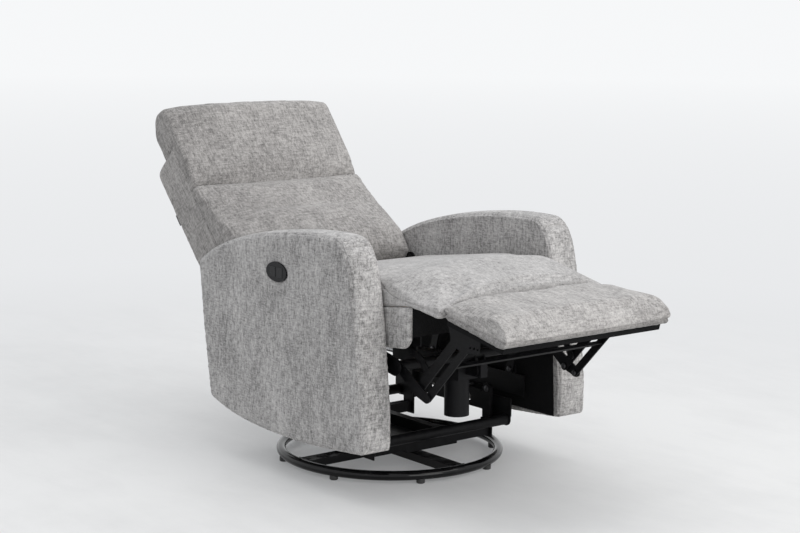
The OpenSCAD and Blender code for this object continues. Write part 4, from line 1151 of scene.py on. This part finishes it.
def seat_springs():
    """Sinuous wires between the cross boards, hooked in a clip at each end."""
    low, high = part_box("seat_springs")
    rule = Rule("sinuous_wire", Wire=1.9 * MM)
    ring = rule.node("CurvePrimitiveCircle", {"Resolution": 8, "Radius": rule.given["Wire"]}).outputs[0]
    tube = rule.node("CurveToMesh", {"Curve": rule.curve(), "Profile Curve": ring, "Fill Caps": True})
    rule.end(tube.outputs[0], "wire")
    front_y, rear_y = low[1], high[1]
    front_z, rear_z = high[2] - 2 * MM, low[2] + 2 * MM
    middles = [(k - (SPRINGS - 1) / 2) * SPRING_PITCH for k in range(SPRINGS)]
    runs = []
    for middle in middles:
        run = []
        for i in range(SPRING_WAVES * WAVE_STEPS + 1):
            t = i / (SPRING_WAVES * WAVE_STEPS)
            turn = t * SPRING_WAVES * 2 * math.pi
            swing = math.tanh(WAVE_FLATNESS * math.sin(turn)) / math.tanh(WAVE_FLATNESS)
            middling = math.sin(math.pi * t)
            run.append((middle + WAVE_WIDTH * swing,
                        front_y + t * (rear_y - front_y) + WAVE_BULGE * math.sin(2 * turn) * middling,
                        front_z + t * (rear_z - front_z) - SPRING_SAG * middling))
        runs.append(run)
    obj = detail("seat_spring_wires", run_mesh("spring_runs", runs), rule, "seat", "bare_steel")
    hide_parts("seat_springs")
    clips = [((1000 * middle, 1000 * y + way * 5, 1000 * z + 1), (0, -way, 0))
             for middle in middles for y, z, way in ((front_y, front_z, 1), (rear_y, rear_z, -1))]
    rule = Rule("spring_clips", Width=16 * MM, Length=13 * MM, Thickness=1.4 * MM)
    size = rule.vector(*(rule.given[key] for key in ("Width", "Length", "Thickness")))
    plate = rule.node("MeshCube", {"Size": size}).outputs["Mesh"]
    clip = rule.joined(*(rule.moved(plate, Translation=(0, 0, z * MM)) for z in (3, -4)))
    rule.end(rule.placed(rule.given["Geometry"], clip), "zinc", False)
    detail("spring_clips", spots_mesh("clip_spots", clips), rule, "seat", "bare_steel")


RING_R, RING_Z, RING_TUBE = 0.290, 0.0212, 0.0125
SPOKE_HALF_W, SPOKE_HALF_H, BEAD_STEPS = 0.020, 0.010, 8


def weld_beads():
    """Scalloped weld beads where the spokes meet the ring."""
    rule = Rule("weld_bead", Pitch=2.4 * MM, Bead=2.6 * MM)
    drop = rule.node("MeshIcoSphere", {"Radius": rule.given["Bead"], "Subdivisions": 2}).outputs["Mesh"]
    rule.end(rule.placed(rule.paced(), drop), "enamel")
    loop = [(SPOKE_HALF_W * i, SPOKE_HALF_H * j) for i, j in ((-1, -1), (1, -1), (1, 1), (-1, 1), (-1, -1))]
    runs = []
    for k in range(4):
        c, s = math.cos(k * math.pi / 2), math.sin(k * math.pi / 2)
        run = []
        for (a0, b0), (a1, b1) in zip(loop, loop[1:]):
            for i in range(BEAD_STEPS):
                a, b = a0 + (a1 - a0) * i / BEAD_STEPS, b0 + (b1 - b0) * i / BEAD_STEPS
                inner = RING_R - math.sqrt(max(RING_TUBE ** 2 - b * b, 1e-8))
                x = math.sqrt(inner ** 2 - a * a)
                run.append((x * c - a * s, x * s + a * c, RING_Z + b))
        runs.append(run + run[:1])
    detail("weld_beads", run_mesh("weld_runs", runs), rule, "base", "ring_gloss")


STITCH_IN, STITCH_BELOW, ARM_MIDDLE_Z = 10 * MM, 4 * MM, 0.36
ARM_STITCH_TURNS = np.radians(np.arange(198, -16, -1.0))
PAD_STITCH_ACROSS, PAD_STITCH_OUT = np.linspace(-0.252, 0.252, 80), np.linspace(0.03, 0.215, 40)


def stitches():
    """Rows of topstitching beside the border seams of the arms and the footrest."""
    rule = Rule("stitch_row", Pitch=5.0 * MM, Thread=0.45 * MM, Length=3.4 * MM)
    thick = rule.given["Thread"]
    size = rule.vector(thick, thick, rule.math("MULTIPLY", rule.given["Length"], 0.5))
    turn = rule.facing(rule.node("InputTangent").outputs[0])
    rule.end(rule.placed(rule.paced(), rule.moved(rule.ball(6, 4), Scale=size), Rotation=turn), "thread")
    ways = [(0, math.cos(turn), math.sin(turn)) for turn in ARM_STITCH_TURNS]
    runs = [cast_run(ARM_SKINS[name], [(sign * x, 0.0, ARM_MIDDLE_Z)] * len(ways), ways)
            for name, sign in (("left", 1), ("right", -1)) for x in (ARM_OUT - STITCH_IN, ARM_IN + STITCH_IN)]
    detail("arm_stitches", run_mesh("arm_stitch_runs", runs), rule, "carriage", "cloth")

    def border(out):
        return pad_under(out) - PAD_BORDER - STITCH_BELOW
    outward = (0, -PAD_COS, -PAD_SIN)
    places = [(x, *pad_place(0.12, border(PAD_LONG))) for x in PAD_STITCH_ACROSS]
    runs = [cast_run(soft["footrest"], places, [outward] * len(places))]
    places = [(0, *pad_place(out, border(out))) for out in PAD_STITCH_OUT]
    runs += [cast_run(soft["footrest"], places, [(sign, 0, 0)] * len(places)) for sign in (-1, 1)]
    detail("footrest_stitches", run_mesh("footrest_stitch_runs", runs), rule, "footrest", "cloth")


rivets()
bolts()
seat_springs()
weld_beads()
stitches()

cover_done(soft["seat"], "seat", "seat_cushion", "seat")
cover_done(soft["lumbar"], "back", "lumbar_cushion", "back")
cover_done(soft["head"], "back", "head_cushion", "back")
cover_done(soft["footrest"], "footrest", "footrest_pad", "pad")
cover_done(BACK_SKIN, "back", "back_shell", "back")
for side in ("left", "right"):
    cover_done(ARM_SKINS[side], "carriage", f"arm_{side}", "arm")
    cover_done(SIDE_SKINS[side], "seat", f"seat_side_{side}", "arm")
